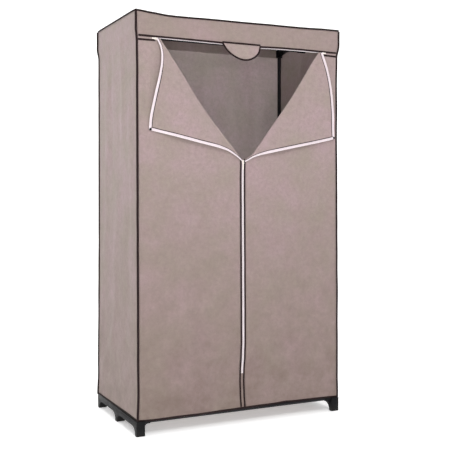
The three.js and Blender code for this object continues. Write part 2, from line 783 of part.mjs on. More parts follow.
// The two free edges moved in by a distance: where they meet each other and the fold.
function insetOutline(outline, distance) {
  const move = (a, b) => {
    const along = b.clone().sub(a).normalize();
    const inward = new THREE.Vector2(along.y, -along.x);
    if (inward.y > 0) inward.negate();
    return [a.clone().addScaledVector(inward, distance), along];
  };
  const [a, alongA] = move(outline.start, outline.tip);
  const [b, alongB] = move(outline.foot, outline.tip);
  const apart = b.clone().sub(a);
  const cross = alongA.x * alongB.y - alongA.y * alongB.x;
  const reach = (apart.x * alongB.y - apart.y * alongB.x) / cross;
  const tip = a.clone().addScaledVector(alongA, reach);
  const meet = (p, along) => p.clone().addScaledVector(along, (flapFoldClearance - p.y) / along.y);
  return { tip, startFold: meet(a, alongA), footFold: meet(b, alongB) };
}

function flap(name, side, corner) {
  const outline = flapOutline(corner);
  const inner = insetOutline(outline, flapTapeWidth);
  const cloth = insetOutline(outline, flapTapeWidth + gap);
  const hinge = new THREE.Group();
  const along = at(side * foldAlong.x, 0, foldAlong.y);
  const across = at(side * foldAcross.x, 0, foldAcross.y);
  const out = at(0, -1, 0);
  hinge.position.set(side * foldTop.x, doorMiddle - flapFoldOffset, foldTop.y);
  const closing = along.clone().multiplyScalar(side);
  hinge.quaternion.setFromAxisAngle(closing, Math.PI);
  wardrobe.add(hinge);
  // Flat places, with the height above the closed cloth's middle.
  const inFlap = (s, h, lift) => at(0, 0, 0).addScaledVector(along, s)
    .addScaledVector(across, h).addScaledVector(out, lift - flapFoldOffset);
  // Cloth: rows run from the fold to the tape, and it swells a little between them.
  const edgeAt = (s) => between([
    [cloth.startFold.x, cloth.startFold.y],
    [cloth.tip.x, cloth.tip.y],
    [cloth.footFold.x, cloth.footFold.y],
  ], s);
  const first = cloth.startFold.x + flapEndSetback;
  const last = cloth.footFold.x - flapEndSetback;
  const stations = [
    ...spread(first, cloth.tip.x, evenShares(flapTopSteps)).slice(0, -1),
    ...spread(cloth.tip.x, last, evenShares(flapSteps)),
  ];
  const swell = (s, share) => -flapBelly * Math.sin(Math.PI * share)
    * Math.sin((Math.PI * (s - first)) / (last - first));
  part(`flap_${name}`, sheet(evenShares(flapSteps), stations, (share, s) => {
    const h = flapFoldClearance + (edgeAt(s) - flapFoldClearance) * share;
    return inFlap(s, h, clothThick / 2 + swell(s, share));
  }, out.clone().multiplyScalar(-clothThick)), 'cloth', hinge);
  // Tape: an angle of tape along the two free edges, with a hole for the stud at its corner.
  const byFold = (point) => new THREE.Vector2(point.x, flapFoldClearance);
  const flat = new THREE.Shape([
    byFold(outline.start), outline.start, outline.tip, outline.foot,
    byFold(outline.foot), inner.footFold, inner.tip, inner.startFold,
  ]);
  const tape = extruded(flat, clothThick);
  tape.applyMatrix4(new THREE.Matrix4().makeBasis(along, across, out));
  const shift = out.clone().multiplyScalar(-flapFoldOffset - clothThick / 2);
  let tapeSolid = asSolid(facingOut(tape.translate(shift.x, shift.y, shift.z)));
  const stud = outline.tip.clone().lerp(inner.tip, 1 / 2);
  const studAt = (lift) => inFlap(stud.x, stud.y, lift);
  tapeSolid = tapeSolid.subtract(rod(clothThick + 2 * cutOverrun, studPinRadius + gap, studPinRadius + gap,
    Y, studAt(clothThick / 2 + cutOverrun), smallSides));
  part(`flap_tape_${name}`, asGeometry(tapeSolid), 'tape', hinge);
  // Stud: a cap on the inner face, a pin through the tape and a head that meets the door's half.
  const inside = -clothThick / 2 - gap;
  const outside = clothThick / 2 + gap;
  const studHead = flapFoldOffset * 2 - clothThick - studCapThick - 3 * gap;
  let studSolid = rod(studCapThick, studRadius, studRadius, Y, studAt(inside), smallSides);
  studSolid = studSolid.add(rod(outside - inside + gap, studPinRadius, studPinRadius, Y,
    studAt(outside), smallSides));
  studSolid = studSolid.add(rod(studHead, studRadius, studRadius, Y, studAt(outside + studHead), smallSides));
  part(`flap_stud_${name}`, asGeometry(studSolid), 'stud', hinge);
  return { hinge, studAt };
}

for (const [name, side] of [['left', -1], ['right', 1]]) {
  const made = flap(name, side, flapCorners[name]);
  // Door half of the stud, on the door right behind the folded corner.
  made.hinge.updateMatrixWorld(true);
  const spot = made.studAt(0).applyMatrix4(made.hinge.matrixWorld);
  const button = rod(studCapThick, studRadius, studRadius, Y,
    at(spot.x, doorFace - gap - studCapThick, spot.z), smallSides);
  part(`door_stud_${name}`, asGeometry(button), 'stud');
}

// Half-moon tab: it hangs over the middle of the top zip, a little to the left, from a roll in
// front of the binding.
const sliderFront = zipCoilThick / 2 + gap + sliderPlateThick;
const pullPinOut = sliderFront + pullEyeRadius + gap / 3;
const tabMiddle = pullPinOut + pullEyeRadius + gap + clothThick / 2;
const tabPivotHeight = valanceBindingHeight + halfBinding - tabRollRadius + gap;

function halfMoonTab() {
  const shape = new THREE.Shape();
  const arcHeight = tabDrop - halfBinding;
  const arcRadius = (tabHalfChord ** 2 + arcHeight ** 2) / (2 * arcHeight);
  const centre = arcRadius - arcHeight;
  const half = Math.asin(tabHalfChord / arcRadius);
  shape.moveTo(tabHalfChord, 0);
  for (let i = 0; i <= tabSteps; i += 1) {
    const turn = half - (2 * half * i) / tabSteps;
    shape.lineTo(arcRadius * Math.sin(turn), centre - halfBinding - arcRadius * Math.cos(turn));
  }
  shape.lineTo(-tabHalfChord, 0);
  const flat = extruded(shape, clothThick).translate(0, 0, -clothThick / 2);
  flat.rotateX(Math.PI / 2);
  const roll = rod(2 * tabHalfChord, tabRollRadius, tabRollRadius, X, at(-tabHalfChord, 0, 0), pinSides);
  return asGeometry(asSolid(flat).add(roll)).translate(tabOffset, doorMiddle - tabMiddle, tabPivotHeight);
}

part('half_moon_tab', halfMoonTab(), 'cloth');

// Sliders: two plates joined by a post that runs between the coils, with two lugs and a pin for the
// pull. Drawn at the zip's centre line, closing towards +Z.
function slider() {
  const plateIn = zipCoilThick / 2 + gap;
  const plateOut = plateIn + sliderPlateThick;
  const half = sliderLength / 2;
  const lugHalf = pullWidth / 2 + gap;
  let body = block(at(-sliderHalfWidth, -plateOut, -half), at(sliderHalfWidth, -plateIn, half));
  body = body.add(block(at(-sliderHalfWidth, plateIn, -half), at(sliderHalfWidth, plateOut, half)));
  body = body.add(block(at(-sliderPostHalf, -plateOut, sliderPostHalf), at(sliderPostHalf, plateOut, half)));
  for (const end of [-1, 1]) {
    const lug = [lugHalf, sliderHalfWidth].map((x) => end * x).sort((a, b) => a - b);
    body = body.add(block(at(lug[0], -pullPinOut - pullPinRadius - gap, -pullPinBack - pullEyeRadius),
      at(lug[1], -plateIn, pullEyeRadius - pullPinBack)));
  }
  body = body.add(rod(2 * sliderHalfWidth, pullPinRadius, pullPinRadius, X,
    at(-sliderHalfWidth, -pullPinOut, -pullPinBack), pinSides));
  return body;
}

// Pulls: an eye round the slider's pin and a flat tongue with a rounded end.
function pull(length) {
  const half = pullWidth / 2;
  let body = rod(pullWidth, pullEyeRadius, pullEyeRadius, X, at(-half, 0, 0), smallSides);
  const tongue = new THREE.Shape();
  tongue.moveTo(-half, -pullEyeRadius / 2);
  tongue.lineTo(-half, half - length);
  tongue.quadraticCurveTo(-half, -length, 0, -length);
  tongue.quadraticCurveTo(half, -length, half, half - length);
  tongue.lineTo(half, -pullEyeRadius / 2);
  const flat = extruded(tongue, pullThick).translate(0, 0, -pullThick / 2).rotateX(Math.PI / 2);
  body = body.add(asSolid(flat));
  return body.subtract(rod(pullWidth + 2 * cutOverrun, pullEyeBore, pullEyeBore, X,
    at(-half - cutOverrun, 0, 0), smallSides));
}

function zipSlider(name, x, z, turn, pullLength) {
  const carrier = new THREE.Group();
  carrier.position.set(x, doorMiddle, z);
  carrier.rotation.y = turn;
  wardrobe.add(carrier);
  part(`slider_${name}`, asGeometry(slider()), 'slider', carrier);
  const tongue = part(`pull_${name}`, asGeometry(pull(pullLength)), 'slider', carrier);
  tongue.position.set(0, -pullPinOut, -pullPinBack);
}

zipSlider('centre', 0, sliderRestHeight, 0, pullLengthCentre);
zipSlider('top_left', sliderLength / 2 - topZipTapeHalf, zipHeight, Math.PI / 2, pullLengthTop);
zipSlider('top_right', topZipTapeHalf - sliderLength / 2, zipHeight, -Math.PI / 2, pullLengthTop);

export default wardrobe;
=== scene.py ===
import math

import bmesh
import bpy
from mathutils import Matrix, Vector, noise


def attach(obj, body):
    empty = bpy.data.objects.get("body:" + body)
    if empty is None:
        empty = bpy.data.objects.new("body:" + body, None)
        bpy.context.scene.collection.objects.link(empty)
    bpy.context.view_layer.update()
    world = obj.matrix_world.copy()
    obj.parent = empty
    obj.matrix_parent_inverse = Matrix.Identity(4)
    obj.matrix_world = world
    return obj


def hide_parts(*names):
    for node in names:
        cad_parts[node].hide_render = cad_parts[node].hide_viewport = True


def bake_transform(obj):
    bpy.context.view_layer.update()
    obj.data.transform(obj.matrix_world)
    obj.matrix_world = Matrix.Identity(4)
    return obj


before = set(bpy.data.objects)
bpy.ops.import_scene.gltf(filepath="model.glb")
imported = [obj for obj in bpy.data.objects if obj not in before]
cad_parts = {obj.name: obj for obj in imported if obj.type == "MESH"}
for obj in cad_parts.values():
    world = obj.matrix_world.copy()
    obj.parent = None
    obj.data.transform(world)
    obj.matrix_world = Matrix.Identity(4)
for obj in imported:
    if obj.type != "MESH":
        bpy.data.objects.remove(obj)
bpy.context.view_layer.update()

# Camera: a little over three metres off the front left corner, at chest height, through a lens
# slightly longer than normal. Everything here is in metres, with the floor at zero.
picture_px = 450
focal_px = 817.9
tilt_down = 2.03
turn_right = 25.6
view = bpy.data.cameras.new("photo_view")
view.sensor_width = 36.0
view.lens = view.sensor_width * focal_px / picture_px
camera = bpy.data.objects.new("photo_view", view)
camera.location = (-1.467, -3.14, 0.908)
camera.rotation_euler = (math.radians(90 - tilt_down), 0, math.radians(-turn_right))
bpy.context.scene.collection.objects.link(camera)
bpy.context.scene.camera = camera

# Base rails: the two black mouldings that the wardrobe stands on, each with three feet and two
# arches. Injection-moulded polypropylene with a fine spark-eroded grain, so it is black with a
# broad dull highlight, and dusty where it meets the floor.
both_sides = (("left", -1), ("right", 1))


def linear(code):
    parts = [int(code[i:i + 2], 16) / 255 for i in (1, 3, 5)]
    return tuple(c / 12.92 if c <= 0.04045 else ((c + 0.055) / 1.055) ** 2.4 for c in parts) + (1.0,)


def feed(node, inputs):
    """Sets a node's inputs to values, or links them to a socket or to a node's first output in use."""
    for socket, value in inputs.items():
        if isinstance(value, bpy.types.Node):
            value = next(output for output in value.outputs if output.enabled)
        if isinstance(value, bpy.types.NodeSocket):
            node.id_data.links.new(value, node.inputs[socket])
        else:
            node.inputs[socket].default_value = value


def add(tree, kind, inputs=None, **settings):
    """Adds a node with its settings and links. In a material, kind goes without its ShaderNode."""
    made = tree.nodes.new("ShaderNode" + kind if tree.type == "SHADER" else kind)
    for setting, value in settings.items():
        setattr(made, setting, value)
    feed(made, inputs or {})
    return made


def new_finish(name, slot, **constants):
    made = bpy.data.materials.new(name)
    made.use_nodes = True
    shader = made.node_tree.nodes["Principled BSDF"]
    feed(shader, {socket.replace("_", " "): value for socket, value in constants.items()})
    return made, made.node_tree, shader


def surface(shader, colour, patchy, shiniest, dullest, height, strength, depth, **under):
    """Wires up a colour, a roughness that follows a pattern, and fine relief."""
    rough = add(shader.id_data, "MapRange", {"Value": patchy, 1: 0.3, 2: 0.7, 3: shiniest, 4: dullest})
    bump = add(shader.id_data, "Bump", {"Height": height, "Strength": strength, "Distance": depth, **under})
    feed(shader, {"Base Color": colour, "Roughness": rough, "Normal": bump})


moulded, tree, shader = new_finish("moulded_polypropylene", "moulded_plastic", IOR=1.49,
                                   Specular_IOR_Level=0.14)
place = add(tree, "TexCoord").outputs["Object"]
# Grain of the mould, about 0.4 mm in life and drawn at 0.9 mm.
grain = add(tree, "TexNoise", {"Vector": place, "Scale": 1100.0, "Detail": 2.0})
cloud = add(tree, "TexNoise", {"Vector": place, "Scale": 22.0, "Detail": 3.0})
height_above = add(tree, "SeparateXYZ", {0: place}).outputs["Z"]
low_down = add(tree, "MapRange", {"Value": height_above, 1: 0.0, 2: 0.03, 3: 0.55, 4: 0.0})
dust = add(tree, "Math", {0: low_down, 1: cloud}, operation="MULTIPLY")
shade = add(tree, "Mix", {0: dust, 6: linear("#0c0c0e"), 7: linear("#302d2a")}, data_type="RGBA")
surface(shader, shade, cloud, 0.44, 0.6, grain, 0.35, 0.0003)


def in_scene(name, data=None):
    made = bpy.data.objects.new(name, data or bpy.data.meshes.new(name))
    bpy.context.scene.collection.objects.link(made)
    return made


def final_mesh(piece):
    graph = bpy.context.evaluated_depsgraph_get()
    graph.update()
    return bpy.data.meshes.new_from_object(piece.evaluated_get(graph), depsgraph=graph)


def settled(piece):
    """The piece with its modifiers made part of its mesh."""
    data = final_mesh(piece)
    piece.modifiers.clear()
    piece.data = data
    return piece


def smoothed(piece, angle=35):
    piece.data.shade_smooth()
    piece.data.set_sharp_from_angle(angle=math.radians(angle))
    return piece


def dressed(piece, finish, *nodes, body="root"):
    """Gives a piece its finish, the nodes that it replaces and the body that it moves with."""
    if nodes:
        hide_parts(*nodes)
    piece.data.materials.clear()
    piece.data.materials.append(finish)
    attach(piece, body)
    return piece


def softened(node, name, edge, finish, body="root"):
    """A merged copy of a moulding, with its edges rounded as they leave the mould."""
    shape = bmesh.new()
    shape.from_mesh(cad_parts[node].data)
    bmesh.ops.remove_doubles(shape, verts=shape.verts, dist=1e-5)
    bmesh.ops.dissolve_limit(shape, angle_limit=math.radians(0.5), verts=shape.verts, edges=shape.edges)
    piece = in_scene(name)
    shape.to_mesh(piece.data)
    shape.free()
    rounding = piece.modifiers.new("rounding", "BEVEL")
    rounding.width = edge
    rounding.segments = 2
    rounding.limit_method = "ANGLE"
    rounding.angle_limit = math.radians(32)
    return dressed(smoothed(settled(piece)), finish, node, body=body)


base_rail_edge = 0.0011
for name, side in both_sides:
    softened("base_rail_" + name, "moulded_base_rail_" + name, base_rail_edge, moulded)

# Frame tubes: thin-walled steel tube, 16 mm across, powder-coated black before it is packed flat.
# The coat is satin with a faint orange peel. Posts come in halves, and the upper half has a
# drawn-down end that slips into the lower one.
powder_coat, tree, shader = new_finish("black_powder_coat", "painted_tube", IOR=1.5, Specular_IOR_Level=0.22)
place = add(tree, "TexCoord").outputs["Object"]
peel = add(tree, "TexNoise", {"Vector": place, "Scale": 520.0, "Detail": 1.0})
handling = add(tree, "TexNoise", {"Vector": place, "Scale": 14.0, "Detail": 4.0})
shade = add(tree, "Mix", {0: handling, 6: linear("#0e0e10"), 7: linear("#1a191c")}, data_type="RGBA")
surface(shader, shade, handling, 0.28, 0.4, peel, 0.25, 0.0002)

tube_radius = 0.008
tube_wall = 0.0012
tube_gap = 0.0003
spigot_down = 0.03
spigot_up = 0.0012
post_x = 0.4315
post_y = 0.2315
post_foot_z = 0.0333
post_joint_z = 0.8
post_top_z = 1.5775
top_tube_z = 1.5761
base_tube_z = 0.0533
base_tube_x = 0.4187
rail_z = 1.5501
rail_setback = 0.0083
arm_setback = 0.0143
corners = {"front_left": (-1, -1), "front_right": (1, -1), "rear_left": (-1, 1), "rear_right": (1, 1)}
# Three of the posts lean in a little at their tops.
heads = {"front_left": (-post_x, -post_y), "front_right": (post_x - 0.0026, -post_y),
         "rear_left": (-post_x + 0.0028, post_y), "rear_right": (post_x - 0.0016, post_y)}


def growing(name, **inputs):
    """An empty geometry tree with named inputs, its group inputs and its output node."""
    made = bpy.data.node_groups.new(name, "GeometryNodeTree")
    for label, kind in {"Geometry": "Geometry", **inputs}.items():
        made.interface.new_socket(label, in_out="INPUT", socket_type="NodeSocket" + kind)
    made.interface.new_socket("Geometry", in_out="OUTPUT", socket_type="NodeSocketGeometry")
    return made, add(made, "NodeGroupInput").outputs, add(made, "NodeGroupOutput")


def driven(piece, tree, values):
    """Puts a geometry tree on a piece, with its named inputs set."""
    labels = {item.name: item.identifier for item in tree.interface.items_tree if item.in_out == "INPUT"}
    modifier = piece.modifiers.new(tree.name, "NODES")
    modifier.node_group = tree
    for label, value in values.items():
        modifier[labels[label]] = value
    return piece


drawn_tube, given, result = growing("drawn_tube", Start="Vector", End="Vector", Radius="Float", Sides="Int",
                                    Finish="Material")
line = add(drawn_tube, "GeometryNodeCurvePrimitiveLine", {"Start": given["Start"], "End": given["End"]})
ring = add(drawn_tube, "GeometryNodeCurvePrimitiveCircle",
           {"Resolution": given["Sides"], "Radius": given["Radius"]})
skin = add(drawn_tube, "GeometryNodeCurveToMesh", {"Curve": line, "Profile Curve": ring})
real = add(drawn_tube, "GeometryNodeRealizeInstances", {"Geometry": skin})
coated = add(drawn_tube, "GeometryNodeSetMaterial", {"Geometry": real, "Material": given["Finish"]})
feed(result, {"Geometry": coated})


def tube(name, start, end, *nodes, radius=tube_radius):
    piece = settled(driven(in_scene(name), drawn_tube, {
        "Start": start, "End": end, "Radius": radius, "Sides": 40, "Finish": powder_coat}))
    shape = bmesh.new()
    shape.from_mesh(piece.data)
    bmesh.ops.remove_doubles(shape, verts=shape.verts, dist=1e-6)
    bmesh.ops.recalc_face_normals(shape, faces=shape.faces)
    shape.to_mesh(piece.data)
    shape.free()
    wall = piece.modifiers.new("wall", "SOLIDIFY")
    wall.thickness = tube_wall
    wall.offset = -1
    return dressed(smoothed(settled(piece), 50), powder_coat, *nodes)


for name, (x, y) in corners.items():
    foot = (x * post_x, y * post_y)
    tube("post_tube_lower_" + name, (*foot, post_foot_z), (*foot, post_joint_z - tube_gap),
         f"post_{name}_lower")
    tube("post_tube_upper_" + name, (*foot, post_joint_z), (*heads[name], post_top_z), f"post_{name}_upper")
    tube("post_spigot_" + name, (*foot, post_joint_z - spigot_down), (*foot, post_joint_z + spigot_up),
         radius=tube_radius - tube_wall - tube_gap)
for name, end in [("front", -1), ("rear", 1)]:
    tube("cross_tube_" + name, (-base_tube_x, end * post_y, base_tube_z),
         (base_tube_x, end * post_y, base_tube_z), "base_tube_" + name)
for name, start, end in [("front", "front_left", "front_right"), ("rear", "rear_left", "rear_right"),
                         ("left", "front_left", "rear_left"), ("right", "front_right", "rear_right")]:
    # Each stops inside the arms of two connectors.
    start, end = Vector((*heads[start], top_tube_z)), Vector((*heads[end], top_tube_z))
    step = (end - start).normalized() * arm_setback
    tube("head_tube_" + name, start + step, end - step, "top_tube_" + name)
rail_ends = {side: (heads["front_" + name][0] + heads["rear_" + name][0]) / 2 for name, side in both_sides}
tube("clothes_rail", (rail_ends[-1] + rail_setback, 0, rail_z), (rail_ends[1] - rail_setback, 0, rail_z),
     "hanging_rail")

# Corner and rail connectors: moulded in the same black plastic. A corner one has a square collar
# that slips over the post, a round crown that holds up the cover, and an arm with a web for each
# top tube. A rail one is a sleeve on the side tube with a socket hung under it.
arm_radius = 0.0108
arm_lip = 0.0004
arm_length = 0.046
socket_length = 0.035
sleeve_half = 0.018
bore_radius = 0.0083
bore_past = 0.05
post_bore_depth = 0.0238
arm_bore_start = 0.014
socket_bore_start = 0.008
web_thick = 0.005
rail_web_thick = 0.011
collar_half = 0.0115
collar_chamfer = 0.0014
collar_foot_z = 1.5541
crown_z = 1.5959
upwards = Vector((0, 0, 1))


def turned(profile, start, axis, sides=40):
    """A closed solid turned from (radius, along) pairs round an axis."""
    shape = bmesh.new()
    along = Vector(axis).normalized()
    across = along.orthogonal().normalized()
    third = along.cross(across)
    rings = []
    for radius, step in profile:
        centre = Vector(start) + along * step
        turns = [2 * math.pi * i / sides for i in range(sides)] if radius else [0]
        rings.append([shape.verts.new(centre + radius * (across * math.cos(turn) + third * math.sin(turn)))
                      for turn in turns])
    for low, high in zip(rings, rings[1:]):
        for i in range(sides):
            j = (i + 1) % sides
            if len(low) == 1:
                shape.faces.new((low[0], high[j], high[i]))
            elif len(high) == 1:
                shape.faces.new((low[i], low[j], high[0]))
            else:
                shape.faces.new((low[i], low[j], high[j], high[i]))
    bmesh.ops.recalc_face_normals(shape, faces=shape.faces)
    return shape


def bore(start, axis, low=0.0, high=bore_past):
    return turned([(0, low), (bore_radius, low), (bore_radius, high), (0, high)], start, axis)


def slab(outline, thick, across, up, through, at):
    """A flat plate from an outline of (across, up) pairs, centred on its thickness."""
    shape = bmesh.new()
    faces = []
    for step in (-thick / 2, thick / 2):
        faces.append([shape.verts.new(Vector(across) * a + up * b + Vector(through) * step)
                      for a, b in outline])
    shape.faces.new(faces[0])
    shape.faces.new(reversed(faces[1]))
    for i in range(len(outline)):
        j = (i + 1) % len(outline)
        shape.faces.new((faces[0][i], faces[0][j], faces[1][j], faces[1][i]))
    bmesh.ops.recalc_face_normals(shape, faces=shape.faces)
    bmesh.ops.translate(shape, vec=at, verts=shape.verts)
    return shape


def arm(length, start, axis):
    """A moulded arm, with a rolled lip at its open end."""
    edge = 0.0008
    radius = arm_radius - arm_lip
    return turned([(0, 0), (radius, 0), (radius, length - 0.004 - arm_lip), (arm_radius, length - 0.004),
                   (arm_radius, length - edge), (arm_radius - edge, length), (0, length)], start, axis)


def welded(name, solids, bores):
    """One moulding: the solids run together, and then the bores taken out."""
    piece = in_scene(name)
    solids[0].to_mesh(piece.data)
    helpers = []
    for shapes, act in [(solids[1:], "UNION"), (bores, "DIFFERENCE")]:
        for shape in shapes:
            other = in_scene(name + "_helper")
            shape.to_mesh(other.data)
            cut = piece.modifiers.new(act, "BOOLEAN")
            cut.operation = act
            cut.solver = "EXACT"
            cut.object = other
            helpers.append(other)
    settled(piece)
    for other in helpers:
        bpy.data.objects.remove(other)
    for shape in [*solids, *bores]:
        shape.free()
    return smoothed(piece, 30)


for name, (x, y) in corners.items():
    centre = Vector((*heads[name], 0))
    foot = centre + upwards * collar_foot_z
    head = centre + upwards * top_tube_z
    rise = crown_z - collar_foot_z
    crown = [(0, 0.002), (0.011, 0.002), (0.0117, 0.01), (0.0118, 0.03), (0.0112, 0.0375),
             (0.01, rise - 0.001), (0.009, rise), (0, rise)]
    flat = collar_half - collar_chamfer
    square = [(-flat, -collar_half), (flat, -collar_half), (collar_half, -flat), (collar_half, flat),
              (flat, collar_half), (-flat, collar_half), (-collar_half, flat), (-collar_half, -flat)]
    solids = [slab(square, top_tube_z - collar_foot_z, (1, 0, 0), Vector((0, 1, 0)), upwards,
                   (foot + head) / 2), turned(crown, foot, upwards)]
    bores = [bore(foot, upwards, -0.005, post_bore_depth)]
    for direction in (Vector((-x, 0, 0)), Vector((0, -y, 0))):
        web = [(0.002, top_tube_z - 0.001), (0.002, collar_foot_z + 0.001),
               (collar_half - 0.0005, collar_foot_z + 0.001), (0.04, top_tube_z - 0.01),
               (0.04, top_tube_z - 0.001)]
        solids += [arm(arm_length, head, direction),
                   slab(web, web_thick, direction, upwards, direction.cross(upwards), centre)]
        bores.append(bore(head + direction * arm_bore_start, direction))
    dressed(welded("corner_moulding_" + name, solids, bores), moulded, "corner_connector_" + name)

for name, x in both_sides:
    inward = Vector((-x, 0, 0))
    over = Vector((rail_ends[x], -sleeve_half, top_tube_z))
    under = Vector((rail_ends[x], 0, rail_z))
    length = 2 * sleeve_half
    sleeve = [(0, 0), (arm_radius - 0.0008, 0), (arm_radius, 0.0008), (arm_radius, length - 0.0008),
              (arm_radius - 0.0008, length), (0, length)]
    web = [(0.002, rail_z), (0.0215, rail_z), (0.0185, top_tube_z - 0.008), (0.002, top_tube_z)]
    solids = [turned(sleeve, over, (0, 1, 0)), arm(socket_length, under, inward),
              slab(web, rail_web_thick, inward, upwards, (0, 1, 0), (rail_ends[x], 0, 0))]
    bores = [bore(over, (0, 1, 0), -0.01), bore(under + inward * socket_bore_start, inward)]
    dressed(welded("rail_moulding_" + name, solids, bores), moulded, "rail_connector_" + name)

# Cover cloth: taupe non-woven polypropylene, point-bonded in a fine diamond grid. It is matt and
# slightly felted, mottled where the fibres lie thicker, and keeps the soft folds of its packing.
# Side, back and top panels are sewn edge to edge round the frame.
cloth_thick = 0.001
cloth_proud = 0.0012
body_x = 0.44
body_y = 0.24
hem_z = 0.0583
bead_z = 1.5964
band_step = 0.0064
bead_room = 0.0039
seam_reach = 0.055
# It is thin enough to let some light through, so the inside is lit through the walls.
cover_cloth, tree, shader = new_finish(
    "nonwoven_polypropylene", "cover_cloth", IOR=1.45, Sheen_Weight=0.12, Sheen_Roughness=0.55,
    Specular_IOR_Level=0.2, Subsurface_Weight=0.45, Subsurface_Scale=0.006, Subsurface_Radius=(1.0, 1.0, 1.0))
on_sheet = add(tree, "UVMap", uv_map="cloth")
place = add(tree, "TexCoord").outputs["Object"]
# Mottling of the web, 20 to 80 mm across, and stray fibres a few millimetres long.
patches = add(tree, "TexNoise", {"Vector": place, "Scale": 7.0, "Detail": 3.0, "Roughness": 0.6})
clumps = add(tree, "TexNoise", {"Vector": place, "Scale": 62.0, "Detail": 4.0, "Roughness": 0.7})
stretched = add(tree, "Mapping", {"Vector": on_sheet, "Scale": (1.0, 0.35, 1.0)})
fibres = add(tree, "TexNoise", {"Vector": stretched, "Scale": 900.0, "Detail": 3.0, "Distortion": 0.8})
shade = linear("#8f8379")
for pattern, low, high, most, colour in [(patches, 0.34, 0.66, 1.0, "#9e878a"),
                                         (clumps, 0.3, 0.7, 0.55, "#7c6d69"),
                                         (fibres, 0.35, 0.75, 0.3, "#b0a29f")]:
    share = add(tree, "MapRange", {"Value": pattern, 1: low, 2: high, 3: 0.0, 4: most})
    shade = add(tree, "Mix", {0: share, 6: shade, 7: linear(colour)}, data_type="RGBA")
# Painted shade: none above the middle, and darker towards the hem, in uneven patches.
axes = add(tree, "SeparateXYZ", {0: place}).outputs
low_down = add(tree, "MapRange", {"Value": axes["Z"], 1: 0.0, 2: 1.15, 3: 1.0, 4: 0.0})
drifts = add(tree, "TexNoise", {"Vector": place, "Scale": 13.0, "Detail": 6.0, "Roughness": 0.72})
drift_share = add(tree, "MapRange", {"Value": drifts, 1: 0.3, 2: 0.7, 3: 0.45, 4: 1.0})
painted_low_shade = add(tree, "Math", {0: low_down, 1: drift_share}, operation="MULTIPLY")
# Painted shade: the valance is drawn a little darker than the doors.
high_up = add(tree, "MapRange", {"Value": axes["Z"], 1: 1.504, 2: 1.507, 3: 0.0, 4: 0.26})
in_front = add(tree, "MapRange", {"Value": axes["Y"], 1: -0.2411, 2: -0.2405, 3: 1.0, 4: 0.0})
painted_valance_shade = add(tree, "Math", {0: high_up, 1: in_front}, operation="MULTIPLY")
painted_shade = add(tree, "Math", {0: painted_low_shade, 1: painted_valance_shade}, operation="ADD")
# Painted shade: the hem and valance masks darken the cloth colour here.
shade = add(tree, "Mix", {0: painted_shade, 6: shade, 7: linear("#6f6058")}, data_type="RGBA")
# Bonding points sit about 1.1 mm apart on a diagonal grid, and are drawn 2 mm apart.
diagonal = add(tree, "Mapping", {"Vector": on_sheet, "Rotation": (0, 0, math.radians(45)),
                                 "Scale": (500.0, 500.0, 1.0)})
points = add(tree, "TexVoronoi", {"Vector": diagonal, "Scale": 1.0, "Randomness": 0.12})
pressed = add(tree, "MapRange", {"Value": points, 1: 0.12, 2: 0.42, 3: 0.0, 4: 1.0})
relief = add(tree, "Math", {0: pressed, 1: fibres}, operation="ADD")
crushed = add(tree, "TexNoise", {"Vector": place, "Scale": 26.0, "Detail": 5.0, "Roughness": 0.55,
                                 "Distortion": 0.6})
dented = add(tree, "Bump", {"Height": crushed, "Strength": 0.3, "Distance": 0.006})
surface(shader, shade, clumps, 0.86, 0.97, relief, 0.3, 0.0003, Normal=dented)


def eased(low, high, value):
    share = min(1.0, max(0.0, (value - low) / (high - low)))
    return share * share * (3 - 2 * share)


def evenly(low, high, count):
    return [low + (high - low) * i / (count - 1) for i in range(count)]


def stands_out(z):
    """The cover flares over the base rails, and its top band is pushed out by the connectors."""
    return 0.003 * (1 - eased(hem_z, 0.16, z)) + band_step * eased(1.484, 1.535, z)


def curve_share(t, low, high, rise_low, rise_high):
    """A smooth step from low to high, with given slopes at its ends."""
    return ((2 * t ** 3 - 3 * t ** 2 + 1) * low + (t ** 3 - 2 * t ** 2 + t) * rise_low
            + (3 * t ** 2 - 2 * t ** 3) * high + (t ** 3 - t ** 2) * rise_high)


def read_off(table, at):
    """A value from (place, value) pairs, on a smooth line through them."""
    at = min(max(at, table[0][0]), table[-1][0])
    i = next(k for k in range(len(table) - 1) if at <= table[k + 1][0])
    (a, low), (b, high) = table[i], table[i + 1]
    before, after = table[max(i - 1, 0)], table[min(i + 2, len(table) - 1)]
    return curve_share((at - a) / (b - a), low, high, (high - before[1]) / (b - before[0]) * (b - a),
                       (after[1] - low) / (after[0] - a) * (b - a))


# The top edge sinks unevenly between the corners: heights along each edge, above the corner seams.
front_edge = [(-0.446, 0.0015), (-0.416, -0.001), (-0.392, -0.0037), (-0.368, -0.0052), (-0.344, -0.0076),
              (-0.32, -0.0094), (-0.29, -0.0101), (-0.213, -0.0093), (-0.154, -0.008), (0.03, -0.0069),
              (0.092, -0.0057), (0.222, -0.005), (0.288, -0.004), (0.356, -0.0018), (0.446, -0.0008)]
back_edge = [(-0.446, 0.008), (-0.39, 0.002), (-0.3, -0.004), (-0.1, -0.0065), (0.2, -0.006),
             (0.36, -0.0035), (0.446, 0.0)]
left_edge = [(-0.246, 0.0015), (-0.2, 0.0032), (0.0, 0.0052), (0.15, 0.007), (0.246, 0.008)]
right_edge = [(-0.246, -0.0008), (-0.15, -0.005), (0.0, -0.0065), (0.15, -0.0045), (0.246, 0.0)]


